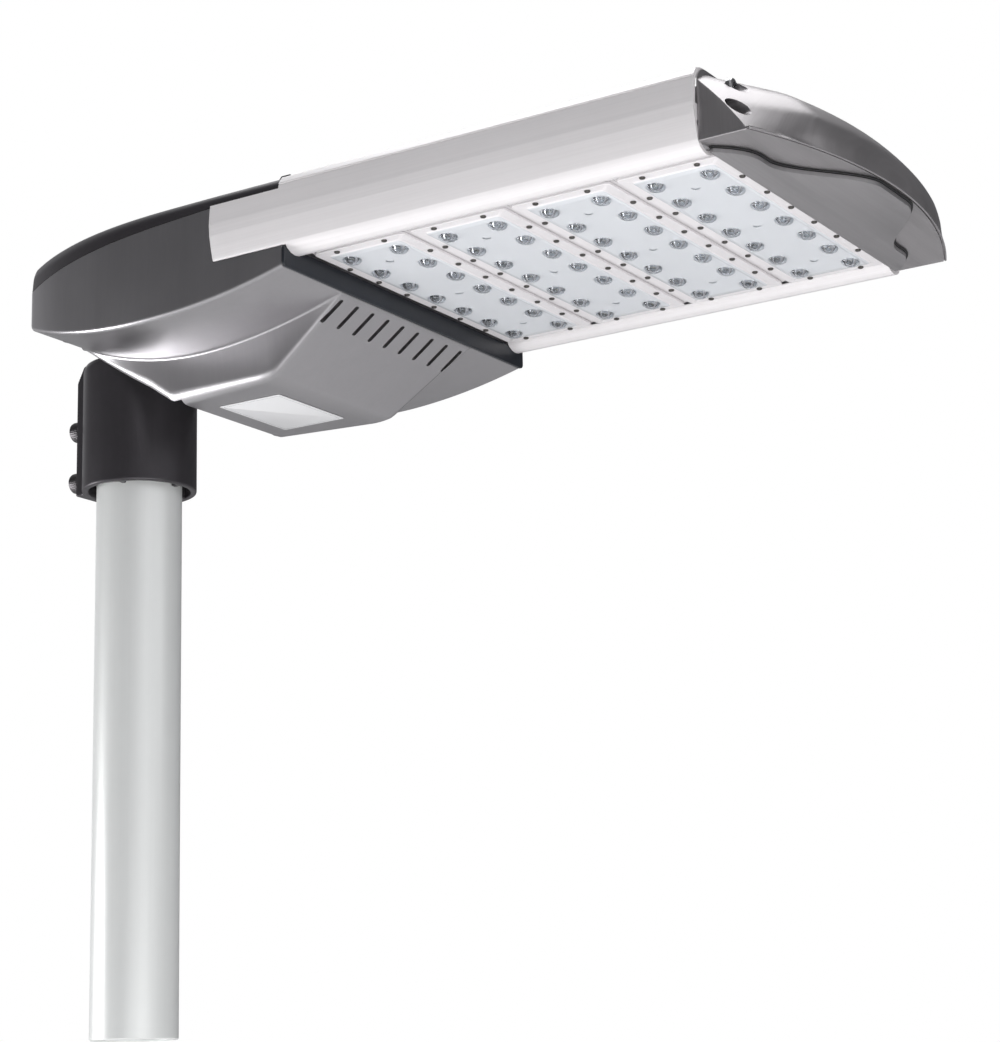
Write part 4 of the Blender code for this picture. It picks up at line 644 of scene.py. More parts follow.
def knurled_head():
    """A bolt on the X axis, its head's seat at the origin and its head towards -X."""
    head = [(-SEAT_GAP, 6.9), (-SEAT_GAP - 0.5 * mm, 7.4), (-SEAT_GAP - 6.4 * mm, 7.4),
            (-SEAT_GAP - 7.4 * mm, 7.0),
            (-SEAT_GAP - BOLT_HEAD_HEIGHT, 6.2)]
    rings = []
    sides = KNURLS * 4
    for along, radius in head:
        knurl = 0.16 * mm if abs(along) < 7 * mm else 0.0
        rings.append([(along, (radius * mm - knurl * (i % 4 > 1)) * math.cos(math.tau * i / sides),
                       (radius * mm - knurl * (i % 4 > 1)) * math.sin(math.tau * i / sides))
                      for i in range(sides)])
    bolt = skin("bolt", rings)
    shank = turned("shank", [(0, BOLT_SHANK), (13.5 * mm, BOLT_SHANK), (14.5 * mm, BOLT_SHANK - 1 * mm)],
                   (-1 * mm, 0, 0), (10 * mm, 0, 0), 24)
    socket = rod("socket", BOLT_SOCKET, 5.5 * mm, (-10 * mm, 0, 0), (0, 0, 0), 6)
    shape_with(bolt, "UNION", shank)
    return shape_with(bolt, "DIFFERENCE", socket)


def make_clamp_bolts():
    pattern = knurled_head()
    height = (BOLT_PLACES[0][1] + BOLT_PLACES[2][1]) / 2
    bolts = set_out("clamp_bolts", EVEN_ROWS, shape=pattern, columns=2, rows=2,
                    column_step=(0.0, 2 * BOLT_PLACES[1][0], 0.0),
                    row_step=(0.0, 0.0, BOLT_PLACES[2][1] - BOLT_PLACES[0][1]),
                    centre=(-PAD_FACE, 0.0, height), turn_most=(1.0, 0.0, 0.0), finish=BLACKENED_STEEL)
    drop(pattern)
    fit(bolts, None, "post", "steel", "clamp_bolt_1", "clamp_bolt_2", "clamp_bolt_3", "clamp_bolt_4")


make_clamp_bolts()

# ================================================================ lower housing
# One satin grey aluminium casting: side walls drawn in towards the rear, a sagging floor, a
# keel with a vented front slope, and a bay that is open behind for the collar.

HOUSING_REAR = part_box("lower_housing")[0].x
HOUSING_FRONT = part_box("front_bar")[0].x - SEAT_GAP
HOUSING_HALF_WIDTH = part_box("lower_housing")[1].y
REAR_HALF_WIDTH = 103 * mm
WALLS_STRAIGHT = 150 * mm
HOUSING_WALL = 3 * mm
FLOOR_LOW, FLOOR_LOW_X = -25 * mm, 118 * mm
FLOOR_REAR_RISE, FLOOR_FRONT_RISE = 29 * mm, 15 * mm
SEAM_REAR, SEAM_FRONT, SEAM_LEVEL_X = 30.5 * mm, 41 * mm, 179 * mm
KEEL_BOTTOM = -55 * mm
KEEL_BEND, KEEL_BEND_DROP = 0.2, 0.152      # length of the slope's bend, and how far it hangs back
KEEL_EDGE_RUN = 140 * mm
SCREW_POST_RADIUS, TRAY_POST_RADIUS = 5.3 * mm, 4.8 * mm
HINGE_PIN_HOLE, TRAY_SCREW_HOLE, CAP_SCREW_HOLE = 2.1 * mm, 2.3 * mm, 2.5 * mm
PIVOT_BOSS_RADIUS, PIVOT_BOSS_EASE = 11.5 * mm, 0.6 * mm
KEEL_REAR, KEEL_FLAT_END = 78 * mm, 158 * mm
KEEL_HALF_REAR, KEEL_HALF_FRONT = 52 * mm, 77 * mm
KEEL_DRAFT = 2 * mm
FLOOR_EDGE_RADIUS, KEEL_ROOT_RADIUS = 3.0 * mm, 2.0 * mm
KEEL_EDGE_REAR, KEEL_EDGE_FRONT = 10 * mm, 4 * mm
HOUSING_STATIONS = 96
BAY_WALL = 4 * mm
BULKHEAD_REAR, BULKHEAD_FRONT = 86 * mm, 90 * mm
RIM_WIDTH, RIM_DEPTH, FRONT_RIM_WIDTH = 8 * mm, 5 * mm, 12 * mm
VENT_COUNT, VENT_PITCH, VENT_WIDTH = 9, 17.5 * mm, 3.6 * mm
VENT_START, VENT_END = 213 * mm, 230 * mm
RAIL_START, RAIL_SEAT = 179 * mm, 137.5 * mm
COVER_TOP = 52 * mm
COVER_SCREW = (12 * mm, 88 * mm)
COVER_SCREW_RADIUS = 2.4 * mm
TRAY_BOTTOM, TRAY_TOP = -8 * mm, -6.5 * mm
TRAY_SCREWS = [(x * mm, y * mm) for x in (105, 213) for y in (-107, 107)]
TRAY_SCREW_RADIUS = 2.0 * mm
GLAND_HEIGHT, GLAND_RADIUS = 14 * mm, 9 * mm
HINGE = (238.5 * mm, 50 * mm)
HINGE_EYE_RADIUS, HINGE_PIN_RADIUS = 3.5 * mm, 1.8 * mm
HINGE_INNER, HINGE_LUG_WIDTH = 74 * mm, 6 * mm
COVER_FRONT = 233.4 * mm


def housing_half_width(x):
    share = max(0.0, (WALLS_STRAIGHT - x) / (WALLS_STRAIGHT - HOUSING_REAR))
    return HOUSING_HALF_WIDTH - (HOUSING_HALF_WIDTH - REAR_HALF_WIDTH) * share ** 2.5


def floor_height(x):
    if x < FLOOR_LOW_X:
        return FLOOR_LOW + FLOOR_REAR_RISE * ((FLOOR_LOW_X - x) / (FLOOR_LOW_X - HOUSING_REAR)) ** 2
    return FLOOR_LOW + FLOOR_FRONT_RISE * ((x - FLOOR_LOW_X) / (HOUSING_FRONT - FLOOR_LOW_X)) ** 2


def seam_height(x):
    share = min(1.0, (x - HOUSING_REAR) / (SEAM_LEVEL_X - HOUSING_REAR))
    return SEAM_REAR + (SEAM_FRONT - SEAM_REAR) * share


def keel_half_width(x):
    share = (x - HOUSING_REAR) / (HOUSING_FRONT - HOUSING_REAR)
    return KEEL_HALF_REAR + (KEEL_HALF_FRONT - KEEL_HALF_REAR) * share


def keel_depth(x):
    """Bottom of the keel: a slanting rear edge, a flat with the label, a slope up to the bar."""
    if x < KEEL_REAR:
        rear_start = HOUSING_REAR + HOUSING_WALL
        share = max(0.0, (x - rear_start) / (KEEL_REAR - rear_start))
        return min(floor_height(x), floor_height(HOUSING_REAR) - 2 * mm
                   + (KEEL_BOTTOM - floor_height(HOUSING_REAR) + 2 * mm) * share)
    if x <= KEEL_FLAT_END:
        return KEEL_BOTTOM
    share = (x - KEEL_FLAT_END) / (HOUSING_FRONT - KEEL_FLAT_END)
    if share < KEEL_BEND:
        rise = share * share * (1.25 - 0.25 * share)
    else:
        rise = share - KEEL_BEND_DROP * (1 - share) / (1 - KEEL_BEND)
    return KEEL_BOTTOM + (floor_height(HOUSING_FRONT) - KEEL_BOTTOM) * rise


def stations(start, end, count):
    return [start + (end - start) * i / (count - 1) for i in range(count)]


def section_of(corners, x, steps=7):
    """Half section of (y, z, radius) corners from the middle outwards, mirrored to a whole one."""
    half = []
    for i, (y, z, radius) in enumerate(corners):
        here = Vector((y, z))
        if i in (0, len(corners) - 1):
            half.append(here)
            continue
        before = Vector(corners[i - 1][:2]) - here
        after = Vector(corners[i + 1][:2]) - here
        reach = min(radius, before.length * 0.45, after.length * 0.45)
        start = here + before.normalized() * reach
        end = here + after.normalized() * reach
        for step in range(steps + 1):
            t = step / steps
            half.append(start * (1 - t) ** 2 + here * 2 * t * (1 - t) + end * t ** 2)
    right = [(x, -p.x, p.y) for p in reversed(half)]
    left = [(x, p.x, p.y) for p in half]
    return right + left


def housing_section(x, draw=0.0):
    """Whole outer section of the casting, keel and floor in one skin; draw eases the ends."""
    wide = housing_half_width(x) - draw
    low = floor_height(x) + draw
    keel = keel_half_width(x)
    depth = min(keel_depth(x) + draw, low - 0.02 * mm)
    share = min(1.0, max(0.0, (x - KEEL_REAR) / KEEL_EDGE_RUN))
    edge = KEEL_EDGE_REAR + (KEEL_EDGE_FRONT - KEEL_EDGE_REAR) * share
    edge = min(edge, (low - depth) * 0.6 + 0.02 * mm)
    root = min(KEEL_ROOT_RADIUS, (low - depth) * 0.35 + 0.01 * mm)
    corners = [(0.0, depth, 0), (keel - KEEL_DRAFT, depth, edge), (keel, low, root),
               (wide, low, FLOOR_EDGE_RADIUS), (wide, seam_height(x) - SEAT_GAP / 2, 0)]
    return section_of(corners, x)


def hinge_eye(name, side, first_turn, arm, start):
    eye = [(HINGE[0] + HINGE_EYE_RADIUS * math.sin(math.radians(turn)),
            HINGE[1] + HINGE_EYE_RADIUS * math.cos(math.radians(turn)))
           for turn in range(first_turn, 181, 10)]
    lug = extruded(name, eye + arm, "XZ", *sorted((side * start, side * (start + HINGE_LUG_WIDTH))))
    return round_edges(lug, 0.4 * mm, 2)


def vent_row():
    """Cutters for the keel's slots: flat bars with round ends, laid on the slope by a tree."""
    start = Vector((VENT_START, 0, keel_depth(VENT_START)))
    end = Vector((VENT_END, 0, keel_depth(VENT_END)))
    length = (end - start).length
    outline = rounded(-length / 2, length / 2, -VENT_WIDTH / 2, VENT_WIDTH / 2, 1.7 * mm, 6)
    slot = extruded("slot", outline, "XY", -8 * mm, 8 * mm)
    slope = math.atan2(end.z - start.z, end.x - start.x)
    slot.data.transform(Matrix.Rotation(-slope, 4, "Y"))
    cutters = set_out("vent_cutters", EVEN_ROWS, shape=slot, columns=VENT_COUNT, rows=1,
                      column_step=(0.0, VENT_PITCH, 0.0), centre=(start + end) / 2, finish=SATIN_CASTING)
    drop(slot)
    return cutters


SATIN_CASTING = metal_coat("satin_casting", (0.44, 0.43, 0.445), 0.32, 0.94, grain=1500.0, depth=0.035,
                           patch=0.06, gloss_patch=0.05, stretch=(420.0, 420.0, 10.0), line_tone=0.09,
                           line_depth=0.015, waver=1.5)


def make_lower_housing():
    xs = stations(HOUSING_REAR, HOUSING_FRONT, HOUSING_STATIONS)
    rings = [housing_section(HOUSING_REAR, 1.5 * mm), housing_section(HOUSING_REAR + 0.5 * mm, 0.5 * mm)]
    rings += [housing_section(x) for x in xs[1:-1]]
    rings += [housing_section(HOUSING_FRONT - 0.3 * mm), housing_section(HOUSING_FRONT, 0.3 * mm)]
    housing = skin("lower_housing_casting", rings)
    wall = HOUSING_WALL
    room_xs = stations(BULKHEAD_FRONT, HOUSING_FRONT - wall - 1 * mm, 30)
    room = skin("room", [section_of([(0, floor_height(x) + wall, 0),
                                     (housing_half_width(x) - wall, floor_height(x) + wall, 3 * mm),
                                     (housing_half_width(x) - wall, seam_height(x) - RIM_DEPTH, 0)], x)
                         for x in room_xs])
    mouth = skin("mouth", [section_of([(0, 0, 0), (housing_half_width(x) - RIM_WIDTH, 0, 1 * mm),
                                       (housing_half_width(x) - RIM_WIDTH, COVER_TOP, 0)], x, 2)
                           for x in stations(BULKHEAD_FRONT + 4 * mm, HOUSING_FRONT - FRONT_RIM_WIDTH, 20)])
    hold = skin("hold", [section_of([(0, keel_depth(x) + wall * 1.15, 0),
                                     (keel_half_width(x) - wall - KEEL_DRAFT, keel_depth(x) + wall * 1.15,
                                      3 * mm),
                                     (keel_half_width(x) - wall, floor_height(x) + wall + 4 * mm, 0)], x, 3)
                         for x in room_xs])
    bay = skin("bay", [section_of([(0, KEEL_BOTTOM * 1.5, 0),
                                   (keel_half_width(x) - BAY_WALL, KEEL_BOTTOM * 1.5, 0.1 * mm),
                                   (keel_half_width(x) - BAY_WALL, COVER_TOP, 0)], x, 1)
                       for x in (HOUSING_REAR - 5 * mm, BULKHEAD_REAR)])
    pockets = []
    for side in (-1, 1):
        rings = []
        for x in stations(HOUSING_REAR + wall, BULKHEAD_REAR, 16):
            inner, outer = keel_half_width(x), housing_half_width(x) - wall
            low = floor_height(x) + wall
            rings.append([(x, side * inner, low), (x, side * outer, low), (x, side * outer, COVER_TOP),
                          (x, side * inner, COVER_TOP)])
        pockets.append(skin("pocket", rings))
    shape_with(housing, "DIFFERENCE", room, mouth, hold, bay, *pockets)
    boss_outer = keel_half_width(PIVOT.x + DRUM_RADIUS) + 1.5 * mm
    bosses = []
    for side in (-1, 1):
        boss_length = boss_outer - DRUM_HALF_LENGTH - 0.3 * mm
        bosses.append(turned("boss", [(0, PIVOT_BOSS_RADIUS),
                                      (boss_length - PIVOT_BOSS_EASE, PIVOT_BOSS_RADIUS),
                                      (boss_length, PIVOT_BOSS_RADIUS - PIVOT_BOSS_EASE)],
                             (PIVOT.x, side * (DRUM_HALF_LENGTH + 0.3 * mm), PIVOT.z),
                             (PIVOT.x, side * boss_outer, PIVOT.z), 48))
        x, y = COVER_SCREW[0], side * COVER_SCREW[1]
        bosses.append(rod("screw_post", SCREW_POST_RADIUS, seam_height(x) - floor_height(x) - 2 * mm,
                          (x, y, floor_height(x) + 1 * mm), (x, y, 60 * mm), 32))
        arm = [(HINGE[0], HINGE[1] - 3 * HINGE_EYE_RADIUS), (HOUSING_FRONT - 1 * mm, SEAM_FRONT - 12 * mm),
               (HOUSING_FRONT - 1 * mm, SEAM_FRONT - 1 * mm), (COVER_FRONT + 1 * mm, SEAM_FRONT - 1 * mm)]
        bosses.append(hinge_eye("housing_eye", side, -90, arm, HINGE_INNER))
    for x, y in TRAY_SCREWS:
        bosses.append(rod("tray_post", TRAY_POST_RADIUS, TRAY_BOTTOM - floor_height(x) - 1.3 * mm,
                          (x, y, floor_height(x) + 1 * mm), (x, y, 0), 24))
    shape_with(housing, "UNION", *bosses)
    holes = [rod("hole", PIVOT_HOLE, 150 * mm, (PIVOT.x, -75 * mm, PIVOT.z), (PIVOT.x, 75 * mm, PIVOT.z), 32),
             rod("hole", GLAND_RADIUS + SEAT_GAP, 14 * mm,
                 (BULKHEAD_REAR - 5 * mm, 0, GLAND_HEIGHT), (BULKHEAD_FRONT + 5 * mm, 0, GLAND_HEIGHT), 32)]
    for side in (-1, 1):
        x, y = COVER_SCREW[0], side * COVER_SCREW[1]
        holes.append(rod("hole", 3.3 * mm, 40 * mm, (x, y, seam_height(x) - 14 * mm), (x, y, COVER_TOP), 24))
        holes.append(rod("hole", HINGE_PIN_HOLE, 40 * mm, (HINGE[0], side * (HINGE_INNER - 5 * mm), HINGE[1]),
                         (HINGE[0], side * (HINGE_INNER + 30 * mm), HINGE[1]), 24))
        holes.append(block("rail_step", (RAIL_START - SEAT_GAP, HOUSING_FRONT + 5 * mm),
                           sorted((side * RAIL_SEAT, side * (HOUSING_HALF_WIDTH + 5 * mm))),
                           (3.7 * mm, COVER_TOP)))
    for x, y in TRAY_SCREWS:
        holes.append(rod("hole", TRAY_SCREW_HOLE, 12 * mm, (x, y, TRAY_BOTTOM - 4 * mm), (x, y, 20 * mm), 24))
    shape_with(housing, "DIFFERENCE", vent_row(), *holes)
    fit(housing, SATIN_CASTING, "head", "light_casting", "lower_housing")


make_lower_housing()

# ================================================================ top cover
# Graphite-coated cover over the rear housing. It hangs on two hinges at its front edge and is
# held down by two captive screws; a raised lip carries the rain past the hinges.

COVER_SHOULDER = 10 * mm
COVER_WALL = 2.5 * mm
COVER_LIP_LENGTH, COVER_LIP_HEIGHT = 7 * mm, 2.5 * mm


def cover_section(x, inset, bottom, draw=0.0):
    wide = housing_half_width(x) - inset - draw
    top = COVER_TOP - inset - draw
    rise = top - bottom
    corners = [(0, top, 0), (wide - COVER_SHOULDER, top, 5 * mm),
               (wide - COVER_SHOULDER * 0.45, bottom + rise * 0.82, 2.5 * mm),
               (wide - COVER_SHOULDER * 0.12, bottom + rise * 0.5, 3 * mm), (wide, bottom, 0)]
    return section_of(corners, x, 4)


def make_top_cover():
    xs = stations(HOUSING_REAR, COVER_FRONT, 60)
    rings = [cover_section(HOUSING_REAR, 0, seam_height(HOUSING_REAR) + SEAT_GAP / 2, 2.0 * mm),
             cover_section(HOUSING_REAR + 0.6 * mm, 0, seam_height(HOUSING_REAR) + SEAT_GAP / 2, 0.7 * mm),
             cover_section(HOUSING_REAR + 2.0 * mm, 0, seam_height(HOUSING_REAR) + SEAT_GAP / 2)]
    rings += [cover_section(x, 0, seam_height(x) + SEAT_GAP / 2) for x in xs[1:]]
    cover = skin("rear_cover", rings)
    room = skin("room", [cover_section(x, COVER_WALL, seam_height(x) - 8 * mm)
                         for x in stations(HOUSING_REAR + COVER_WALL, COVER_FRONT - COVER_WALL, 40)])
    shape_with(cover, "DIFFERENCE", room)
    lip_half = HOUSING_HALF_WIDTH - COVER_SHOULDER
    lip_outline = arc_corners([(COVER_FRONT - COVER_LIP_LENGTH - 3 * mm, COVER_TOP - 1 * mm, 0.1 * mm),
                               (COVER_FRONT - 0.01 * mm, COVER_TOP - 1 * mm, 0.1 * mm),
                               (COVER_FRONT - 0.01 * mm, COVER_TOP + COVER_LIP_HEIGHT, 0.5 * mm),
                               (COVER_FRONT - COVER_LIP_LENGTH, COVER_TOP + COVER_LIP_HEIGHT, 1.5 * mm)], 4)
    lip = extruded("lip", lip_outline, "XZ", -lip_half, lip_half)
    parts = [lip]
    for side in (-1, 1):
        arm = [(COVER_FRONT - COVER_WALL * 0.8, HINGE[1] - HINGE_EYE_RADIUS),
               (COVER_FRONT - COVER_WALL * 0.8, HINGE[1] + HINGE_EYE_RADIUS)]
        parts.append(hinge_eye("cover_eye", side, 0, arm, HINGE_INNER + HINGE_LUG_WIDTH + SEAT_GAP))
    rib = block("rib", (30 * mm, 205 * mm), (-1.2 * mm, 1.2 * mm),
                (COVER_TOP - COVER_WALL - 4 * mm, COVER_TOP - COVER_WALL + 0.5 * mm))
    ribs = set_out("stiffening_ribs", EVEN_ROWS, shape=rib, columns=5, rows=1,
                   column_step=(0.0, 38 * mm, 0.0), finish=GRAPHITE)
    drop(rib)
    shape_with(cover, "UNION", *parts)
    shape_with(cover, "UNION", ribs)
    holes = []
    for side in (-1, 1):
        x, y = COVER_SCREW[0], side * COVER_SCREW[1]
        holes.append(rod("hole", 2.7 * mm, 60 * mm, (x, y, 0), (x, y, 60 * mm), 24))
        holes.append(rod("hole", HINGE_PIN_HOLE, 40 * mm, (HINGE[0], side * HINGE_INNER, HINGE[1]),
                         (HINGE[0], side * (HINGE_INNER + 30 * mm), HINGE[1]), 24))
    shape_with(cover, "DIFFERENCE", *holes)
    fit(cover, GRAPHITE, "cover", "dark_casting", "top_cover")


make_top_cover()

# ================================================================ side rails
# Two aluminium extrusions, anodised and brushed along their length, hold the lens field on
# both sides. Each laps over the rear housing and carries screw ports for the end cap.

RAIL_LOW, RAIL_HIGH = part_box("side_rail_left")
RAIL_END = RAIL_HIGH.x
RAIL_HALF_WIDTH = RAIL_HIGH.y
RAIL_TOP = RAIL_HIGH.z - LENS_PLANE
RAIL_LIP_BOTTOM = RAIL_LOW.z - LENS_PLANE
RAIL_LIP_INNER = 120 * mm
RAIL_PORT_INNER = 128 * mm
BAR_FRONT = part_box("front_bar")[1].x
SINK_START = 237 * mm
CAP_BOTTOM = 4.3 * mm
CAP_SCREWS = ((133.0 * mm, 22.0 * mm), (119.5 * mm, 42.0 * mm))
CAP_SCREW_RADIUS = 2.2 * mm
LINE_GROOVE = 0.45 * mm

ANODISED = metal_coat("brushed_anodised_rail", (0.88, 0.855, 0.865), 0.36, 0.2, grain=2000.0, depth=0.015,
                      patch=0.03, gloss_patch=0.04, stretch=(5.0, 900.0, 900.0), line_tone=0.10,
                      line_depth=0.02)


def rail_section():
    """Corners of the extrusion: rolled lip, bowed wall with a fine line groove, leaning top."""
    wide, inner, low, top = RAIL_HALF_WIDTH, RAIL_LIP_INNER, RAIL_LIP_BOTTOM, RAIL_TOP
    port_low, port_high = CAP_SCREWS[0][1] - 5 * mm, CAP_SCREWS[0][1] + 5 * mm
    groove = top - 8.6 * mm
    outside = [(inner, low + 5.8 * mm, 0.6), (inner + 1.5 * mm, low + 3.2 * mm, 2),
               (inner + 5.5 * mm, low + 0.8 * mm, 3),
               (inner + 10 * mm, low, 4), (wide - 9.8 * mm, low + 0.8 * mm, 4),
               (wide - 5.8 * mm, low + 3.0 * mm, 4),
               (wide - 3.9 * mm, low + 6.3 * mm, 4), (wide - 2.1 * mm, low + 13.5 * mm, 6),
               (wide - 0.6 * mm, low + 21.1 * mm, 8), (wide, low + 28.5 * mm, 8),
               (wide - 0.9 * mm, top - 14.4 * mm, 6),
               (wide - 1.6 * mm, groove, 0.15), (wide - 1.6 * mm - LINE_GROOVE, groove + 0.15 * mm, 0.1),
               (wide - 1.6 * mm - LINE_GROOVE, groove + 0.75 * mm, 0.1),
               (wide - 1.7 * mm, groove + 0.9 * mm, 0.15),
               (wide - 1.9 * mm, top - 6.9 * mm, 1.5), (wide - 5.3 * mm, top - 2.2 * mm, 3),
               (wide - 10 * mm, top - 0.5 * mm, 3),
               (wide - 14.3 * mm, top, 3), (wide - 18.3 * mm, top, 0.4)]
    inside = [(wide - 18.3 * mm, top - 2.4 * mm, 0.4), (wide - 14.3 * mm, top - 2.4 * mm, 2),
              (wide - 7.2 * mm, top - 4.4 * mm, 2), (wide - 4.3 * mm, top - 8.4 * mm, 2),
              (wide - 3.3 * mm, top - 14.4 * mm, 3),
              (wide - 2.4 * mm, port_high, 0.5), (RAIL_PORT_INNER, port_high, 0.8),
              (RAIL_PORT_INNER, port_low, 0.8),
              (wide - 2.9 * mm, port_low, 0.5), (wide - 4.6 * mm, low + 13.5 * mm, 3),
              (wide - 6.4 * mm, low + 7.8 * mm, 2),
              (wide - 8.1 * mm, low + 5.0 * mm, 2), (wide - 10.6 * mm, low + 3.1 * mm, 2),
              (inner + 10 * mm, low + 2.4 * mm, 3),
              (inner + 6.6 * mm, low + 3.0 * mm, 2), (inner + 3.4 * mm, low + 4.8 * mm, 1),
              (inner + 2.3 * mm, low + 6.2 * mm, 0.5)]
    return [(y, z, radius * mm) for y, z, radius in outside + inside]


def make_side_rail(side, name):
    outline = [(side * y, z) for y, z in arc_corners(rail_section(), 4)]
    rail = extruded("brushed_rail_" + name, outline, "YZ", RAIL_START, RAIL_END)
    wide, low = RAIL_HALF_WIDTH, RAIL_LIP_BOTTOM
    rear = RAIL_START - 5 * mm
    cuts = [block("lip_notch", (rear, BAR_FRONT + SEAT_GAP),
                  sorted((side * (RAIL_LIP_INNER - 5 * mm), side * (RAIL_SEAT + 1.2 * mm))),
                  (low - 5 * mm, CAP_BOTTOM + 3.5 * mm)),
            block("edge_notch", (rear, BAR_FRONT + SEAT_GAP),
                  sorted((side * RAIL_LIP_INNER, side * (wide + 5 * mm))),
                  (low - 5 * mm, CAP_BOTTOM)),
            block("port_notch", (rear, SINK_START),
                  sorted((side * (RAIL_PORT_INNER - 5 * mm), side * (RAIL_SEAT + SEAT_GAP))),
                  (low, SEAM_FRONT)),
            block("top_notch", (rear, COVER_FRONT + SEAT_GAP),
                  sorted((side * RAIL_LIP_INNER, side * (wide + 5 * mm))),
                  (SEAM_FRONT - SEAT_GAP / 2, RAIL_TOP + 5 * mm))]
    y, z = side * CAP_SCREWS[0][0], CAP_SCREWS[0][1]
    cuts.append(rod("port_hole", CAP_SCREW_HOLE, 32 * mm, (RAIL_END - 26 * mm, y, z),
                    (RAIL_END + 5 * mm, y, z), 20))
    shape_with(rail, "DIFFERENCE", *cuts)
    fit(rail, ANODISED, "head", "extrusion", "side_rail_" + name)


make_side_rail(-1, "right")
make_side_rail(1, "left")

# ================================================================ heat sink
# One aluminium extrusion across the head: a base plate that the light modules are screwed to,
# thin cooling fins above it and a thick fin on each side for the end cap's screws.

SINK_BOTTOM, SINK_BASE_TOP = 8.5 * mm, 14.5 * mm
FIN_START, FIN_TOP = 246 * mm, 46 * mm
FIN_COUNT, FIN_THICKNESS = 19, 2 * mm
EDGE_FIN_Y, EDGE_FIN_THICKNESS = 119.5 * mm, 9 * mm

MILL_FINISH = metal_coat("mill_finish_aluminium", (0.60, 0.60, 0.61), 0.42, 0.9, grain=1600.0, depth=0.03,
                         patch=0.08, gloss_patch=0.08, stretch=(7.0, 600.0, 600.0), line_tone=0.12,
                         line_depth=0.03)


def fin_outline(thick, tip):
    """Cross-section of a fin with a foot fillet's flare and a rounded tip."""
    height = FIN_TOP - SINK_BASE_TOP
    half = thick / 2
    return arc_corners([(-half - 0.8 * mm, -0.5 * mm, 0.01 * mm), (half + 0.8 * mm, -0.5 * mm, 0.01 * mm),
                        (half + 0.25 * mm, 2 * mm, 1.5 * mm), (half, height, tip), (-half, height, tip),
                        (-half - 0.25 * mm, 2 * mm, 1.5 * mm)], 4)


def make_heat_sink():
    half = RAIL_HALF_WIDTH - 6.5 * mm
    base_outline = arc_corners([(-half, SINK_BOTTOM, 0.4 * mm), (half, SINK_BOTTOM, 0.4 * mm),
                                (half, SINK_BASE_TOP, 0.8 * mm), (-half, SINK_BASE_TOP, 0.8 * mm)], 3)
    base = extruded("finned_heat_sink", base_outline, "YZ", SINK_START, RAIL_END - SEAT_GAP)
    thin = extruded("fin", fin_outline(FIN_THICKNESS, 0.9 * mm), "YZ", FIN_START, RAIL_END - SEAT_GAP)
    thick = extruded("edge_fin", fin_outline(EDGE_FIN_THICKNESS, 1.5 * mm), "YZ", FIN_START,
                     RAIL_END - SEAT_GAP)
    fins = set_out("thin_fins", EVEN_ROWS, shape=thin, columns=FIN_COUNT, rows=1,
                   column_step=(0.0, 2 * EDGE_FIN_Y / (FIN_COUNT + 1), 0.0),
                   centre=(0.0, 0.0, SINK_BASE_TOP), finish=MILL_FINISH)
    edges = set_out("edge_fins", EVEN_ROWS, shape=thick, columns=2, rows=1,
                    column_step=(0.0, 2 * EDGE_FIN_Y, 0.0),
                    centre=(0.0, 0.0, SINK_BASE_TOP), finish=MILL_FINISH)
    drop(thin, thick)
    shape_with(base, "UNION", fins, edges)
    holes = [rod("hole", CAP_SCREW_HOLE, 32 * mm,
                 (RAIL_END - 26 * mm, side * CAP_SCREWS[1][0], CAP_SCREWS[1][1]),
                 (RAIL_END + 5 * mm, side * CAP_SCREWS[1][0], CAP_SCREWS[1][1]), 20) for side in (-1, 1)]
    shape_with(base, "DIFFERENCE", *holes)
    fit(base, MILL_FINISH, "head", "extrusion", "heat_sink")


make_heat_sink()

# ================================================================ front bar
# A slate-coloured moulded bar with rounded ends closes the gap between the housing and the
# lens field.

BAR_HALF_WIDTH = 141 * mm
BAR_BOTTOM, BAR_TOP = -10 * mm, 3.5 * mm

SLATE_PLASTIC = metal_coat("slate_moulded_bar", (0.012, 0.015, 0.021), 0.42, 0.0, grain=1500.0, depth=0.06,
                           patch=0.15, gloss_patch=0.08, stretch=(300.0, 12.0, 300.0), line_tone=0.12)


def make_front_bar():
    outline = arc_corners([(-BAR_HALF_WIDTH, BAR_BOTTOM, 3.5 * mm), (BAR_HALF_WIDTH, BAR_BOTTOM, 3.5 * mm),
                           (BAR_HALF_WIDTH, BAR_TOP, 2 * mm), (-BAR_HALF_WIDTH, BAR_TOP, 2 * mm)], 6)
    bar = extruded("front_bar_moulding", outline, "YZ", HOUSING_FRONT + SEAT_GAP, BAR_FRONT)
    round_edges(bar, 0.6 * mm, 3)
    fit(bar, SLATE_PLASTIC, "head", "slate_bar", "front_bar")


make_front_bar()

# ================================================================ circuit boards
# Each light module has a white-masked aluminium board with fourteen LED chips: a ceramic
# square with a yellow phosphor window, on two solder pads.

MODULE_COUNT, MODULE_PITCH = 4, 73.58 * mm
MODULE_LENGTH, MODULE_HALF_WIDTH = 69 * mm, 116 * mm
MODULE_FIRST = 275.03 * mm
LENS_ROW_PITCH, LENS_COLUMN_PITCH = 36.23 * mm, 32.16 * mm
LENS_ROWS, LENS_COLUMNS = 2, 7
GASKET_WIDTH = 4 * mm
BOARD_TOP, BOARD_BOTTOM = 8.2 * mm, 6.6 * mm
MODULE_CENTRES = [MODULE_FIRST + i * MODULE_PITCH for i in range(MODULE_COUNT)]

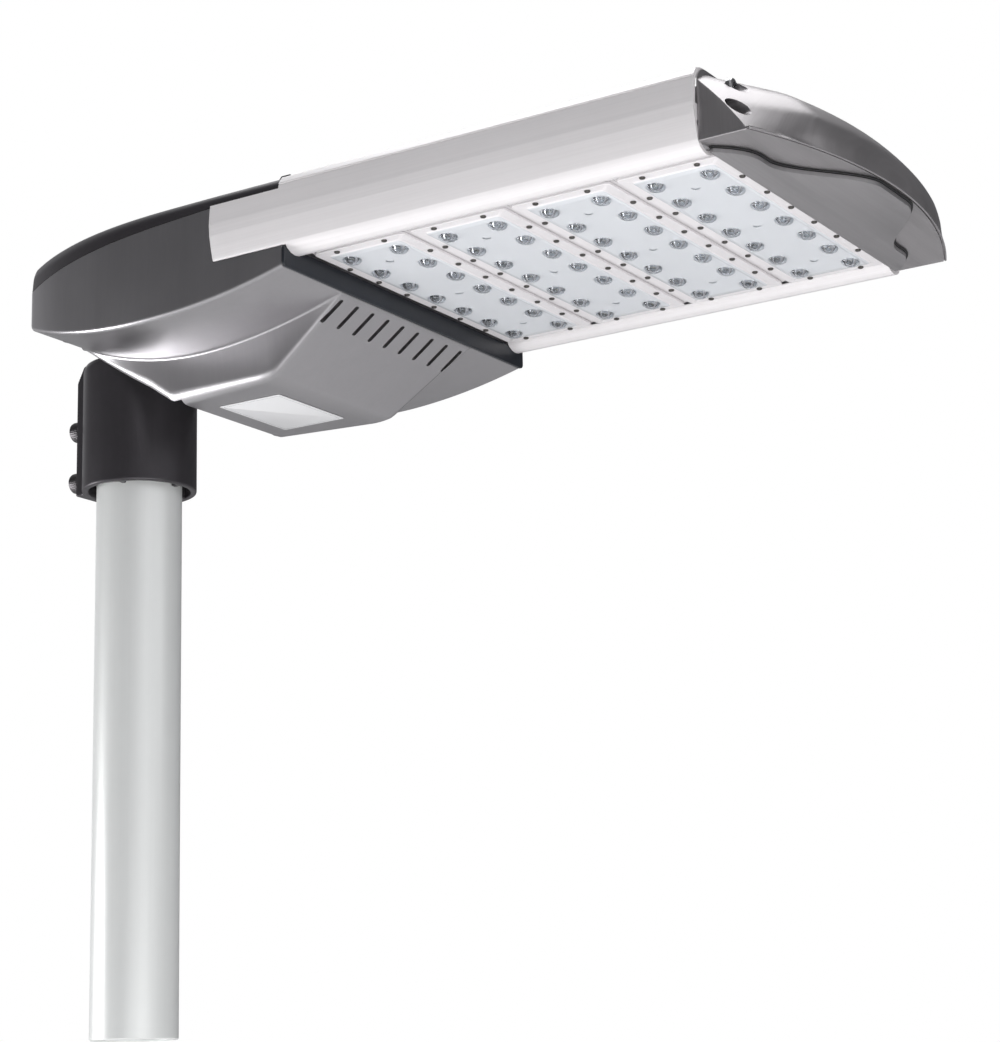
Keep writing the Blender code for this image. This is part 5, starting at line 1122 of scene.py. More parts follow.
BOARD_MASK = metal_coat("white_solder_mask", (0.86, 0.88, 0.91), 0.38, 0.0, grain=600.0, depth=0.02,
                        patch=0.03, gloss_patch=0.05, coat=0.3)
CHIP_CERAMIC = metal_coat("chip_ceramic", (0.90, 0.90, 0.86), 0.45, 0.0, grain=2500.0, depth=0.01)
PHOSPHOR = metal_coat("yellow_phosphor", (0.86, 0.62, 0.12), 0.5, 0.0, grain=4000.0, depth=0.03, patch=0.12,
                      coat=0.4)
SOLDER = metal_coat("solder_pads", (0.62, 0.62, 0.60), 0.3, 1.0, grain=2500.0, depth=0.08, patch=0.15)


def small_box(name, size, low, high, ease=0.15 * mm):
    outline = rounded(-size[0] / 2, size[0] / 2, -size[1] / 2, size[1] / 2, ease, 2)
    return extruded(name, outline, "XY", low, high)


def lens_grid(shape, name, centre, finish, **more):
    return set_out(name, EVEN_ROWS, shape=shape, columns=LENS_COLUMNS, rows=LENS_ROWS,
                   column_step=(0.0, LENS_COLUMN_PITCH, 0.0), row_step=(LENS_ROW_PITCH, 0.0, 0.0),
                   centre=(centre, 0.0, 0.0), finish=finish, **more)


def join_pieces(name, *things):
    """Gather pieces into one object; each face keeps its own finish."""
    shape = bmesh.new()
    mesh = bpy.data.meshes.new(name)
    for thing in things:
        offset = len(mesh.materials)
        first = len(shape.faces)
        shape.from_mesh(thing.data)
        shape.faces.ensure_lookup_table()
        for face in shape.faces[first:]:
            face.material_index += offset
        for paint in thing.data.materials:
            mesh.materials.append(paint)
    shape.to_mesh(mesh)
    shape.free()
    drop(*things)
    return new_piece(name, mesh)


def painted(thing, paint):
    thing.data.materials.clear()
    thing.data.materials.append(paint)
    return thing


def make_boards():
    ceramic = small_box("ceramic", (3.6 * mm, 3.6 * mm), BOARD_BOTTOM - 0.7 * mm, BOARD_BOTTOM + 0.05 * mm)
    window = small_box("window", (2.7 * mm, 2.7 * mm), BOARD_BOTTOM - 0.95 * mm, BOARD_BOTTOM - 0.65 * mm,
                       0.4 * mm)
    pads = small_box("pads", (5.0 * mm, 4.4 * mm), BOARD_BOTTOM - 0.08 * mm, BOARD_BOTTOM + 0.02 * mm)
    inset = GASKET_WIDTH + 1 * mm
    for number, centre in enumerate(MODULE_CENTRES, 1):
        half = MODULE_LENGTH / 2 - inset
        wide = MODULE_HALF_WIDTH - inset
        outline = rounded(centre - half, centre + half, -wide, wide, 1 * mm, 4)
        plate = painted(extruded("plate", outline, "XY", BOARD_BOTTOM, BOARD_TOP), BOARD_MASK)
        pieces = [plate, lens_grid(pads, "pads_set", centre, SOLDER),
                  lens_grid(ceramic, "ceramic_set", centre, CHIP_CERAMIC),
                  lens_grid(window, "window_set", centre, PHOSPHOR)]
        board = join_pieces("led_board_%d_populated" % number, *pieces)
        fit(board, None, "head", "board", "led_board_%d" % number)
    drop(ceramic, window, pads)


make_boards()

# ================================================================ lens plates
# Each module is closed by one clear acrylic moulding: fourteen street lenses with a hollow over
# each chip, a stepped flange on a ring gasket, and small dark screws round the flange.

PLATE_BOTTOM, PLATE_TOP = 1.7 * mm, 4.5 * mm
FLANGE_BOTTOM = 2.6 * mm
FLANGE_WIDTH = 7.5 * mm
LENS_HALF_LENGTH, LENS_HALF_WIDTH = 6.8 * mm, 5.9 * mm
LENS_TIP = -1.5 * mm
LENS_LEAN = 0.9 * mm
SCREW_EDGE_INSET = 3.4 * mm
LENS_SCREW_HEAD = 1.9 * mm
JOINT_LIP = 2.1 * mm

CLEAR_ACRYLIC = bpy.data.materials.new("clear_acrylic")
PALE_ACRYLIC = metal_coat("pale_acrylic", (0.93, 0.955, 0.995), 0.16, 0.0, grain=260.0, depth=0.03,
                          patch=0.03,
                          gloss_patch=0.05)
PALE_FLANGE = metal_coat("pale_flange_acrylic", (0.80, 0.775, 0.79), 0.2, 0.0, grain=260.0, depth=0.04,
                         patch=0.04, gloss_patch=0.05)
DARK_SCREW = metal_coat("dark_screw_steel", (0.10, 0.095, 0.09), 0.35, 1.0, grain=2500.0, depth=0.03,
                        patch=0.2)
SILICONE = metal_coat("pale_silicone", (0.66, 0.64, 0.65), 0.55, 0.0, grain=1200.0, depth=0.02, patch=0.05)


PALE_ACRYLIC.node_tree.nodes["Principled BSDF"].inputs["Transmission Weight"].default_value = 0.3


def finish_acrylic():
    CLEAR_ACRYLIC.use_nodes = True
    nodes = CLEAR_ACRYLIC.node_tree.nodes
    link = CLEAR_ACRYLIC.node_tree.links.new
    shader = nodes["Principled BSDF"]
    shader.inputs["Base Color"].default_value = (0.93, 0.96, 1.0, 1.0)
    shader.inputs["Transmission Weight"].default_value = 1.0
    shader.inputs["IOR"].default_value = 1.49
    surface = nodes.new("ShaderNodeGroup")
    surface.node_tree = GRAIN
    surface.inputs["Grain Scale"].default_value = 160.0
    surface.inputs["Patch Scale"].default_value = 20.0
    gloss = sums(nodes, link, "MULTIPLY_ADD", surface.outputs["Patches"], 0.10)
    gloss.node.inputs[2].default_value = 0.02
    link(gloss, shader.inputs["Roughness"])
    bump = nodes.new("ShaderNodeBump")
    bump.inputs["Strength"].default_value = 0.6
    bump.inputs["Distance"].default_value = 0.05 * mm
    link(surface.outputs["Height"], bump.inputs["Height"])
    link(bump.outputs["Normal"], shader.inputs["Normal"])


finish_acrylic()


def street_lens(steps=7, sides=28):
    """One lens below the plate: an oval dome that leans to one side, with a crisp foot."""
    depth = PLATE_BOTTOM - LENS_TIP
    rings = []
    for step in range(steps + 1):
        angle = math.pi / 2 * step / steps
        size = max(math.cos(angle) ** 0.8, 0.03)
        drop_down = depth * math.sin(angle)
        lean = LENS_LEAN * math.sin(angle)
        rings.append([(LENS_HALF_WIDTH * size * math.cos(math.tau * i / sides) + lean,
                       LENS_HALF_LENGTH * size * math.sin(math.tau * i / sides) - 0.6 * lean,
                       PLATE_BOTTOM - drop_down) for i in range(sides)])
    foot = [(x, y, PLATE_BOTTOM + 0.6 * mm) for x, y, z in rings[0]]
    return skin("street_lens", [foot] + rings)


def lens_hollow():
    """Air pocket over the chip, open towards the board."""
    depth = PLATE_TOP + 0.2 * mm - 0.9 * mm
    rings = []
    for step in range(6):
        angle = math.pi / 2 * step / 5
        size = max(math.cos(angle), 0.04)
        rings.append([(3.1 * mm * size * math.cos(math.tau * i / 20),
                       3.4 * mm * size * math.sin(math.tau * i / 20),
                       PLATE_TOP + 0.2 * mm - depth * math.sin(angle)) for i in range(20)])
    return skin("lens_hollow", rings)


def rectangle_ring(centre, half_x, half_y, radius, z):
    outline = rounded(centre - half_x, centre + half_x, -half_y, half_y, radius, 5)
    return [(x, y, z) for x, y in outline]


def lens_screw():
    """Small pan-head screw, head down; its shank shows through the flange."""
    head = LENS_SCREW_HEAD
    profile = [(0, head), (0.5 * mm, head), (0.95 * mm, head * 0.8), (1.15 * mm, head * 0.45)]
    screw = turned("screw", profile, (0, 0, FLANGE_BOTTOM - 0.05 * mm), (0, 0, -10 * mm), 16)
    shank = rod("shank", 0.8 * mm, 3.4 * mm, (0, 0, FLANGE_BOTTOM - 0.1 * mm), (0, 0, 10 * mm), 10)
    return join_pieces("lens_screw", painted(screw, DARK_SCREW), painted(shank, DARK_SCREW))


def make_lens_plates():
    lens, hollow, screw = street_lens(), lens_hollow(), lens_screw()
    dimple = turned("dimple", [(0, 2.6 * mm), (0.5 * mm, 2.2 * mm)], (0, 0, PLATE_BOTTOM - 0.01 * mm),
                    (0, 0, 10 * mm), 20)
    half_x, half_y = MODULE_LENGTH / 2, MODULE_HALF_WIDTH
    for number, centre in enumerate(MODULE_CENTRES, 1):
        step_x, step_y = half_x - FLANGE_WIDTH, half_y - FLANGE_WIDTH
        rings = [rectangle_ring(centre, half_x - 0.2 * mm, half_y - 0.2 * mm, 4 * mm, PLATE_TOP),
                 rectangle_ring(centre, half_x, half_y, 4 * mm, PLATE_TOP - 0.3 * mm),
                 rectangle_ring(centre, half_x, half_y, 4 * mm, FLANGE_BOTTOM + 0.3 * mm),
                 rectangle_ring(centre, half_x - 0.3 * mm, half_y - 0.3 * mm, 4 * mm, FLANGE_BOTTOM),
                 rectangle_ring(centre, step_x + 0.8 * mm, step_y + 0.8 * mm, 3 * mm, FLANGE_BOTTOM),
                 rectangle_ring(centre, step_x, step_y, 3 * mm, PLATE_BOTTOM + 0.2 * mm),
                 rectangle_ring(centre, step_x - 0.3 * mm, step_y - 0.3 * mm, 3 * mm, PLATE_BOTTOM)]
        plate = skin("clear_lens_plate_%d" % number, rings)
        lenses = lens_grid(lens, "lens_set", centre, CLEAR_ACRYLIC)
        hollows = lens_grid(hollow, "hollow_set", centre, CLEAR_ACRYLIC)
        dimples = set_out("dimple_set", EVEN_ROWS, shape=dimple, columns=3, rows=1,
                          column_step=(0.0, 2.5 * LENS_COLUMN_PITCH, 0.0),
                          centre=(centre, 0.0, 0.0), finish=CLEAR_ACRYLIC)
        shape_with(plate, "UNION", lenses)
        shape_with(plate, "DIFFERENCE", hollows, dimples)
        plate.data.materials.clear()
        plate.data.materials.append(PALE_ACRYLIC)
        plate.data.materials.append(CLEAR_ACRYLIC)
        plate.data.materials.append(PALE_FLANGE)
        for face in plate.data.polygons:
            inside = abs(face.center.z - (PLATE_BOTTOM + PLATE_TOP) / 2) < 1.3 * mm and len(face.vertices) < 6
            from_edge = min(half_x - abs(face.center.x - centre), half_y - abs(face.center.y))
            if face.center.z < PLATE_BOTTOM - 0.02 * mm or (inside and from_edge > 9 * mm):
                face.material_index = 1
            elif face.center.z > PLATE_BOTTOM + 0.1 * mm and from_edge < 8.5 * mm:
                face.material_index = 2
        fit(plate, None, "head", "clear_lens", "lens_plate_%d" % number)
        edge_x = 2 * (half_x - SCREW_EDGE_INSET)
        along = set_out("along_set", EVEN_ROWS, shape=screw, columns=LENS_COLUMNS - 1, rows=2,
                        column_step=(0.0, LENS_COLUMN_PITCH, 0.0), row_step=(edge_x, 0.0, 0.0),
                        centre=(centre, 0.0, 0.0), finish=DARK_SCREW)
        ends = set_out("ends_set", EVEN_ROWS, shape=screw, columns=2, rows=2,
                       column_step=(0.0, 2 * (half_y - SCREW_EDGE_INSET), 0.0),
                       row_step=(LENS_ROW_PITCH, 0.0, 0.0),
                       centre=(centre, 0.0, 0.0), finish=DARK_SCREW)
        screws = join_pieces("lens_screws_%d" % number, along, ends)
        fit(screws, None, "head", "steel")
        inner_x, inner_y = half_x - GASKET_WIDTH, half_y - GASKET_WIDTH
        lip = JOINT_LIP if number < MODULE_COUNT else 0.4 * mm
        outer_middle = centre + (lip - JOINT_LIP) / 2
        outer_x = half_x + (lip + JOINT_LIP) / 2
        gasket = skin("gasket_%d_ring" % number,
                      [rectangle_ring(outer_middle, outer_x, half_y, 4 * mm, PLATE_TOP + SEAT_GAP),
                       rectangle_ring(centre, inner_x, inner_y, 2 * mm, PLATE_TOP + SEAT_GAP),
                       rectangle_ring(centre, inner_x, inner_y, 2 * mm, BOARD_TOP),
                       rectangle_ring(outer_middle, outer_x, half_y, 4 * mm, BOARD_TOP)], wrapped=True)
        fit(gasket, SILICONE, "head", "silicone", "lens_gasket_%d" % number)
    drop(lens, hollow, screw, dimple)


make_lens_plates()

# ================================================================ end cap
# A brushed casting with a crowned nose closes the outer end. Four screws in deep wells hold it
# to the rails and the heat sink.

CAP_HALF_WIDTH = 140 * mm
CAP_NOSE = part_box("end_cap")[1].x
CAP_NOSE_RADIUS = 350 * mm
CAP_TOP = 51 * mm
CAP_WALL = 2.6 * mm
CAP_BACK = RAIL_END + SEAT_GAP
CAP_SIDE_DROP = 11 * mm
CAP_GROOVE = 1.2 * mm
CAP_SEAT = 540 * mm
WELL_RADIUS = 6.0 * mm
PANEL_END = 530.87 * mm
CROWN = ((0.0, 0.0), (0.0, 7.7), (1.8, 16.0), (4.5, 22.7), (11.0, 31.0), (17.0, 36.7), (25.0, 41.4),
         (36.0, 45.0), (47.0, 46.7))

CAP_CASTING = metal_coat("brushed_cap_casting", (0.42, 0.405, 0.415), 0.40, 0.9, grain=1500.0, depth=0.03,
                         patch=0.06, gloss_patch=0.05, stretch=(900.0, 14.0, 14.0), line_tone=0.30,
                         line_depth=0.03, waver=0.5)
PLATE_CASTING = metal_coat("brushed_plate_casting", (0.36, 0.35, 0.36), 0.46, 0.85, grain=1500.0, depth=0.03,
                           patch=0.06, gloss_patch=0.05, stretch=(500.0, 12.0, 12.0), line_tone=0.25,
                           line_depth=0.02, waver=0.5)


def nose_edge(y):
    return CAP_NOSE - (CAP_NOSE_RADIUS - math.sqrt(CAP_NOSE_RADIUS ** 2 - y ** 2))


def smooth_line(points, count):
    """Evenly spread points on a soft curve through a few given ones."""
    line = []
    last = len(points) - 1
    for i in range(count):
        t = last * i / (count - 1)
        k = min(int(t), last - 1)
        f = t - k
        p0, p1, p2, p3 = (Vector(points[min(max(k + j, 0), last)]) for j in (-1, 0, 1, 2))
        line.append(0.5 * (2 * p1 + (p2 - p0) * f + (2 * p0 - 5 * p1 + 4 * p2 - p3) * f ** 2
                           + (3 * p1 - p0 - 3 * p2 + p3) * f ** 3))
    return line


def cap_section(y, back, inset):
    """Side view of the cap at one place across it; towards the sides its nose is cut straighter."""
    edge = nose_edge(y) - inset
    side = max(0.0, abs(y) - (CAP_HALF_WIDTH - 12 * mm)) / (12 * mm)
    roof = CAP_TOP - inset - CAP_SIDE_DROP * (1 - math.sqrt(max(0.0, 1 - min(1.0, side) ** 2)))
    low = CAP_BOTTOM + inset
    groove = low + (CAP_GROOVE if inset < 1 * mm else 0.0)
    points = [(back, low), (edge - 2.2 * mm, low), (edge - 2.1 * mm, groove), (edge - 1.3 * mm, groove),
              (edge - 1.2 * mm, low), (edge - 0.25 * mm, low + 0.25 * mm)]
    flatness = 0.75 * max(0.0, (abs(y) - 0.62 * CAP_HALF_WIDTH) / (0.38 * CAP_HALF_WIDTH))
    for s, h in smooth_line(CROWN, 34)[1:]:
        straight = max(0.0, h - CROWN[0][1] + 3.0) * 0.93
        s += (straight - s) * flatness if straight > s else 0.0
        z = max(CAP_BOTTOM + h * mm - inset * 0.6, low + 1.0 * mm)
        points.append((max(edge - s * mm, back + 0.5 * mm), min(z, roof)))
    points.append((back, roof))
    return [(x, y, z) for x, z in points]


def make_end_cap():
    half = CAP_HALF_WIDTH
    ys = [half, half - 0.4 * mm, half - 1.2 * mm] + [half * math.cos(math.pi * i / 64) for i in range(4, 61)]
    ys += [1.2 * mm - half, 0.4 * mm - half, -half]
    rings = [cap_section(y, CAP_BACK, 0.5 * mm if abs(y) > half - 0.1 * mm else 0.0) for y in ys]
    cap = skin("nose_cap", rings)
    inner_half = half - CAP_WALL
    room = skin("room", [cap_section(y, CAP_BACK - 20 * mm, CAP_WALL)
                         for y in stations(-inner_half, inner_half, 40)])
    places = [(side * y, z) for side in (-1, 1) for y, z in CAP_SCREWS]
    posts = [rod("post", 8.7 * mm, 70 * mm, (CAP_BACK, y, z), (CAP_NOSE, y, z), 40) for y, z in places]
    shape_with(room, "DIFFERENCE", *posts)
    shape_with(cap, "DIFFERENCE", room)
    cuts = [rod("well", WELL_RADIUS, 70 * mm, (CAP_SEAT, y, z), (CAP_NOSE, y, z), 48) for y, z in places]
    cuts += [rod("hole", CAP_SCREW_HOLE, 20 * mm, (CAP_BACK - 5 * mm, y, z), (CAP_NOSE, y, z), 20)
             for y, z in places]
    cuts.append(block("floor_notch", (CAP_BACK - 5 * mm, PANEL_END),
                      (-MODULE_HALF_WIDTH - 2 * mm, MODULE_HALF_WIDTH + 2 * mm),
                      (0, SINK_BOTTOM + 1 * mm)))
    shape_with(cap, "DIFFERENCE", *cuts)
    fit(cap, CAP_CASTING, "head", "light_casting", "end_cap")


make_end_cap()

# ================================================================ end cap screws
# Stainless pan-head screws with hexagon sockets, sunk in the wells.


def make_cap_screws():
    head = turned("screw", [(0, 4.6 * mm), (2.4 * mm, 4.6 * mm), (3.3 * mm, 3.9 * mm), (3.6 * mm, 2.9 * mm)],
                  (SEAT_GAP, 0, 0), (10 * mm, 0, 0), 40)
    socket = rod("socket", 2.2 * mm, 3 * mm, (1.6 * mm, 0, 0), (10 * mm, 0, 0), 6)
    shape_with(head, "DIFFERENCE", socket)
    shank = turned("shank", [(0, CAP_SCREW_RADIUS), (25.4 * mm, CAP_SCREW_RADIUS), (26 * mm, 1.6 * mm)],
                   (SEAT_GAP + 0.1 * mm, 0, 0), (-30 * mm, 0, 0), 20)
    pattern = join_pieces("cap_screw", painted(head, BRIGHT_STEEL), painted(shank, BRIGHT_STEEL))
    rows = []
    for y, z in CAP_SCREWS:
        rows.append(set_out("pair", EVEN_ROWS, shape=pattern, columns=2, rows=1,
                            column_step=(0.0, 2 * y, 0.0),
                            centre=(CAP_SEAT, 0.0, z), turn_most=(6.0, 0.0, 0.0), finish=BRIGHT_STEEL))
    drop(pattern)
    screws = join_pieces("cap_screws", *rows)
    fit(screws, None, "head", "steel", "end_cap_screw_1", "end_cap_screw_2", "end_cap_screw_3",
        "end_cap_screw_4")


make_cap_screws()

# ================================================================ lower plate and its gasket
# A wavy-edged plate under the end cap clamps a black sheet gasket, set out past the wave so
# that its black edge paints the shadow gap under the cap as a dark line all along the wave.

WAVE_SHOULDER, WAVE_NOSE = 549 * mm, 588 * mm
WAVE_HALF_WIDTH = 128.5 * mm
LOWER_PLATE_BOTTOM, LOWER_PLATE_TOP = 0.2 * mm, 2.9 * mm

BLACK_RUBBER_AND_GAP_SHADE = metal_coat("black_rubber", (0.012, 0.012, 0.013), 0.62, 0.0, grain=900.0, depth=0.08,
                          patch=0.25)


def wavy_edge(y, inset):
    across = abs(y)
    share = min(1.0, max(0.0, (across - 18 * mm) / (74 * mm)))
    bulge = 1 - (3 * share ** 2 - 2 * share ** 3)
    corner = max(0.0, across - 100 * mm) / (WAVE_HALF_WIDTH - 100 * mm)
    return WAVE_SHOULDER + (WAVE_NOSE - WAVE_SHOULDER) * bulge - 16 * mm * corner ** 2 - inset


def wavy_ring(inset, z):
    half = WAVE_HALF_WIDTH - inset
    back = PANEL_END + max(inset, 0.0)
    ring = [(wavy_edge(y, inset), y, z) for y in stations(-half, half, 121)]
    return [(back, -half, z)] + ring + [(back, half, z)]


def make_lower_plate():
    ease = 0.7 * mm
    plate = skin("wavy_plate",
                 [wavy_ring(ease, LOWER_PLATE_BOTTOM), wavy_ring(ease * 0.3, LOWER_PLATE_BOTTOM + 0.2 * mm),
                                wavy_ring(0.0, LOWER_PLATE_BOTTOM + ease), wavy_ring(0.0, LOWER_PLATE_TOP)])
    fit(plate, PLATE_CASTING, "head", "light_casting", "end_cap_lower_plate")
    # Outline 1.2 to 1.5 mm outside the plate: the black edge that shows below it is painted shade for the gap
    # under the cap.
    gasket = skin("wavy_gasket", [wavy_ring(-1.2 * mm, LOWER_PLATE_TOP + SEAT_GAP),
                                  wavy_ring(-1.5 * mm, LOWER_PLATE_TOP + 0.7 * mm),
                                  wavy_ring(-1.2 * mm, CAP_BOTTOM - SEAT_GAP)])
    fit(gasket, BLACK_RUBBER_AND_GAP_SHADE, "head", "rubber", "end_cap_gasket")


make_lower_plate()

# ================================================================ rating plate
# A bare foil label under the keel, slightly glossy, with a fine rule round its edge.

LABEL_CENTRE_X = 127.5 * mm
LABEL_LENGTH, LABEL_WIDTH = 51 * mm, 74 * mm
LABEL_TOP, LABEL_BOTTOM = -55.3 * mm, -55.8 * mm

LABEL_FOIL = metal_coat("label_foil", (0.82, 0.82, 0.83), 0.32, 0.0, grain=900.0, depth=0.02, patch=0.02,
                        coat=0.3)
LABEL_RULE = metal_coat("label_rule_ink", (0.42, 0.42, 0.44), 0.4, 0.0, grain=1200.0, depth=0.01)


def label_ring(half_x, half_y, z):
    return [(LABEL_CENTRE_X + x, y, z) for x, y in rounded(-half_x, half_x, -half_y, half_y, 1 * mm, 4)]


def make_label():
    half_x, half_y = LABEL_LENGTH / 2, LABEL_WIDTH / 2
    foil = skin("foil", [label_ring(half_x, half_y, LABEL_TOP),
                         label_ring(half_x, half_y, LABEL_BOTTOM + 0.1 * mm),
                         label_ring(half_x - 0.15 * mm, half_y - 0.15 * mm, LABEL_BOTTOM + 0.05 * mm)])
    outer, inner = 2.0 * mm, 2.3 * mm
    rule = skin("rule", [label_ring(half_x - outer, half_y - outer, LABEL_BOTTOM + 0.06 * mm),
                         label_ring(half_x - outer, half_y - outer, LABEL_BOTTOM),
                         label_ring(half_x - inner, half_y - inner, LABEL_BOTTOM),
                         label_ring(half_x - inner, half_y - inner, LABEL_BOTTOM + 0.06 * mm)], wrapped=True)
    label = join_pieces("rating_label", painted(foil, LABEL_FOIL), painted(rule, LABEL_RULE))
    fit(label, None, "head", "label_foil", "rating_plate")


make_label()

# ================================================================ pivot bolt and nut
# The head tilts on one stainless bolt through the bay walls and the collar's drum, with a
# chamfered hexagon head and a chamfered nut.

PIVOT_GRIP = keel_half_width(PIVOT.x + DRUM_RADIUS) + 1.5 * mm + SEAT_GAP
HEX_RADIUS, HEX_HEIGHT = 10.5 * mm, 7.5 * mm


def hexagon(name, start, end, height, radius, bore=0.0):
    """Hexagon with both faces chamfered, from start towards end."""
    solid = rod(name, radius, height, start, end, 6)
    limit = turned("chamfer", [(-0.01 * mm, radius * 0.88), (1.0 * mm, radius * 1.02),
                               (height - 1.0 * mm, radius * 1.02),
                               (height + 0.01 * mm, radius * 0.88)], start, end, 48)
    shape_with(solid, "INTERSECT", limit)
    if bore:
        shape_with(solid, "DIFFERENCE",
                   turned("bore", [(-1 * mm, bore), (height + 1 * mm, bore)], start, end, 32))
    return solid


def make_pivot():
    x, z = PIVOT.x, PIVOT.z
    head = hexagon("head", (x, -PIVOT_GRIP, z), (x, -100 * mm, z), HEX_HEIGHT, HEX_RADIUS)
    shank = turned("shank", [(0, 6 * mm), (2 * PIVOT_GRIP + HEX_HEIGHT + 2 * mm, 6 * mm),
                             (2 * PIVOT_GRIP + HEX_HEIGHT + 3 * mm, 5 * mm)],
                   (x, -PIVOT_GRIP - 0.2 * mm, z), (x, 100 * mm, z), 40)
    bolt = join_pieces("tilt_bolt", painted(head, BRIGHT_STEEL), painted(shank, BRIGHT_STEEL))
    fit(bolt, None, "head", "steel", "pivot_bolt")
    nut = hexagon("tilt_nut", (x, PIVOT_GRIP, z), (x, 100 * mm, z), HEX_HEIGHT, HEX_RADIUS, 6.25 * mm)
    fit(nut, BRIGHT_STEEL, "head", "steel", "pivot_nut")


make_pivot()

# ================================================================ cover screws, hinge pins and seal
# Two captive thumb-slot screws hold the cover's rear, two headed pins carry its hinges, and a
# round rubber cord on the housing's rim keeps water out of the electrical room.


def make_cover_screws():
    top = COVER_TOP + SEAT_GAP
    for side, name in ((-1, "right"), (1, "left")):
        x, y = COVER_SCREW[0], side * COVER_SCREW[1]
        head = turned("head", [(0, 4.6 * mm), (1.4 * mm, 4.6 * mm), (2.0 * mm, 3.9 * mm)], (x, y, top),
                      (x, y, 1), 48)
        slot = block("slot", (x - 5 * mm, x + 5 * mm), (y - 0.5 * mm, y + 0.5 * mm),
                     (top + 1.0 * mm, top + 4 * mm))
        shape_with(head, "DIFFERENCE", slot)
        depth = top - seam_height(x) + 3.6 * mm
        shank = turned("shank", [(0, COVER_SCREW_RADIUS), (depth, COVER_SCREW_RADIUS),
                                 (depth + 0.4 * mm, 1.9 * mm)],
                       (x, y, top + 0.1 * mm), (x, y, -1), 24)
        screw = join_pieces("captive_screw_" + name, painted(head, BRIGHT_STEEL),
                            painted(shank, BRIGHT_STEEL))
        fit(screw, None, "cover", "steel", "cover_screw_" + name)


def make_hinge_pins():
    for side, name in ((-1, "right"), (1, "left")):
        inner = HINGE_INNER - 2.5 * mm
        length = 2 * HINGE_LUG_WIDTH + SEAT_GAP + 4.5 * mm
        profile = [(0, 2.2 * mm), (0.4 * mm, 2.7 * mm), (2.2 * mm, 2.7 * mm), (2.2 * mm, HINGE_PIN_RADIUS),
                   (length - 0.5 * mm, HINGE_PIN_RADIUS), (length, 1.3 * mm)]
        pin = turned("hinge_pin_" + name, profile, (HINGE[0], side * inner, HINGE[1]),
                     (HINGE[0], side, HINGE[1]), 24)
        fit(pin, BRIGHT_STEEL, "head", "steel", "cover_hinge_pin_" + name)


SEAL_INSET = 5.3 * mm


def make_seal():
    """The cord follows the rim: up one side, across the front, down the other, across the rear."""
    front = HOUSING_FRONT - FRONT_RIM_WIDTH + 3 * mm
    route = []
    for side in (-1, 1):
        xs = stations(BULKHEAD_FRONT, front, 14)
        if side == 1:
            xs.reverse()
        for x in xs:
            y = side * (min(housing_half_width(x), RAIL_SEAT) - SEAL_INSET)
            route.append((x, y, seam_height(x) + 1.5 * mm + SEAT_GAP / 2))
    cord = bpy.data.curves.new("seal", "CURVE")
    cord.dimensions = "3D"
    cord.bevel_depth = 1.5 * mm
    cord.bevel_resolution = 4
    line = cord.splines.new("POLY")
    line.points.add(len(route) - 1)
    for point, place in zip(line.points, route):
        point.co = (*place, 1.0)
    line.use_cyclic_u = True
    drawing = new_piece("seal_drawing", cord)
    mesh = bpy.data.meshes.new_from_object(drawing.evaluated_get(bpy.context.evaluated_depsgraph_get()))
    drop(drawing)
    fit(new_piece("rim_seal", mesh), BLACK_RUBBER_AND_GAP_SHADE, "head", "rubber", "cover_seal")


make_cover_screws()
make_hinge_pins()
make_seal()

# ================================================================ gear tray and its screws
# A zinc-plated sheet tray with eased edges and four cable-tie slots carries the electrical
# parts on four posts of the casting.

TRAY_REAR, TRAY_FRONT, TRAY_HALF_WIDTH = 96 * mm, 222 * mm, 116 * mm

ZINC_SHEET = metal_coat("zinc_plated_sheet", (0.62, 0.63, 0.61), 0.34, 0.95, grain=240.0, depth=0.02,
                        patch=0.14, gloss_patch=0.12)


def make_tray():
    outline = rounded(TRAY_REAR, TRAY_FRONT, -TRAY_HALF_WIDTH, TRAY_HALF_WIDTH, 5 * mm, 6)
    tray = extruded("sheet_tray", outline, "XY", TRAY_BOTTOM, TRAY_TOP)
    holes = [rod("hole", TRAY_SCREW_HOLE, 6 * mm, (x, y, TRAY_BOTTOM - 2 * mm), (x, y, 1), 24)
             for x, y in TRAY_SCREWS]
    slot = extruded("slot", rounded(-9 * mm, 9 * mm, -2 * mm, 2 * mm, 1.9 * mm, 5), "XY",
                    TRAY_BOTTOM - 2 * mm, TRAY_TOP + 2 * mm)
    slots = set_out("cable_tie_slots", EVEN_ROWS, shape=slot, columns=2, rows=2,
                    column_step=(0.0, 206 * mm, 0.0),
                    row_step=(40 * mm, 0.0, 0.0), centre=(159 * mm, 0.0, 0.0), finish=ZINC_SHEET)
    drop(slot)
    shape_with(tray, "DIFFERENCE", slots, *holes)
    round_edges(tray, 0.25 * mm, 2)
    fit(tray, ZINC_SHEET, "head", "sheet_steel", "gear_tray")


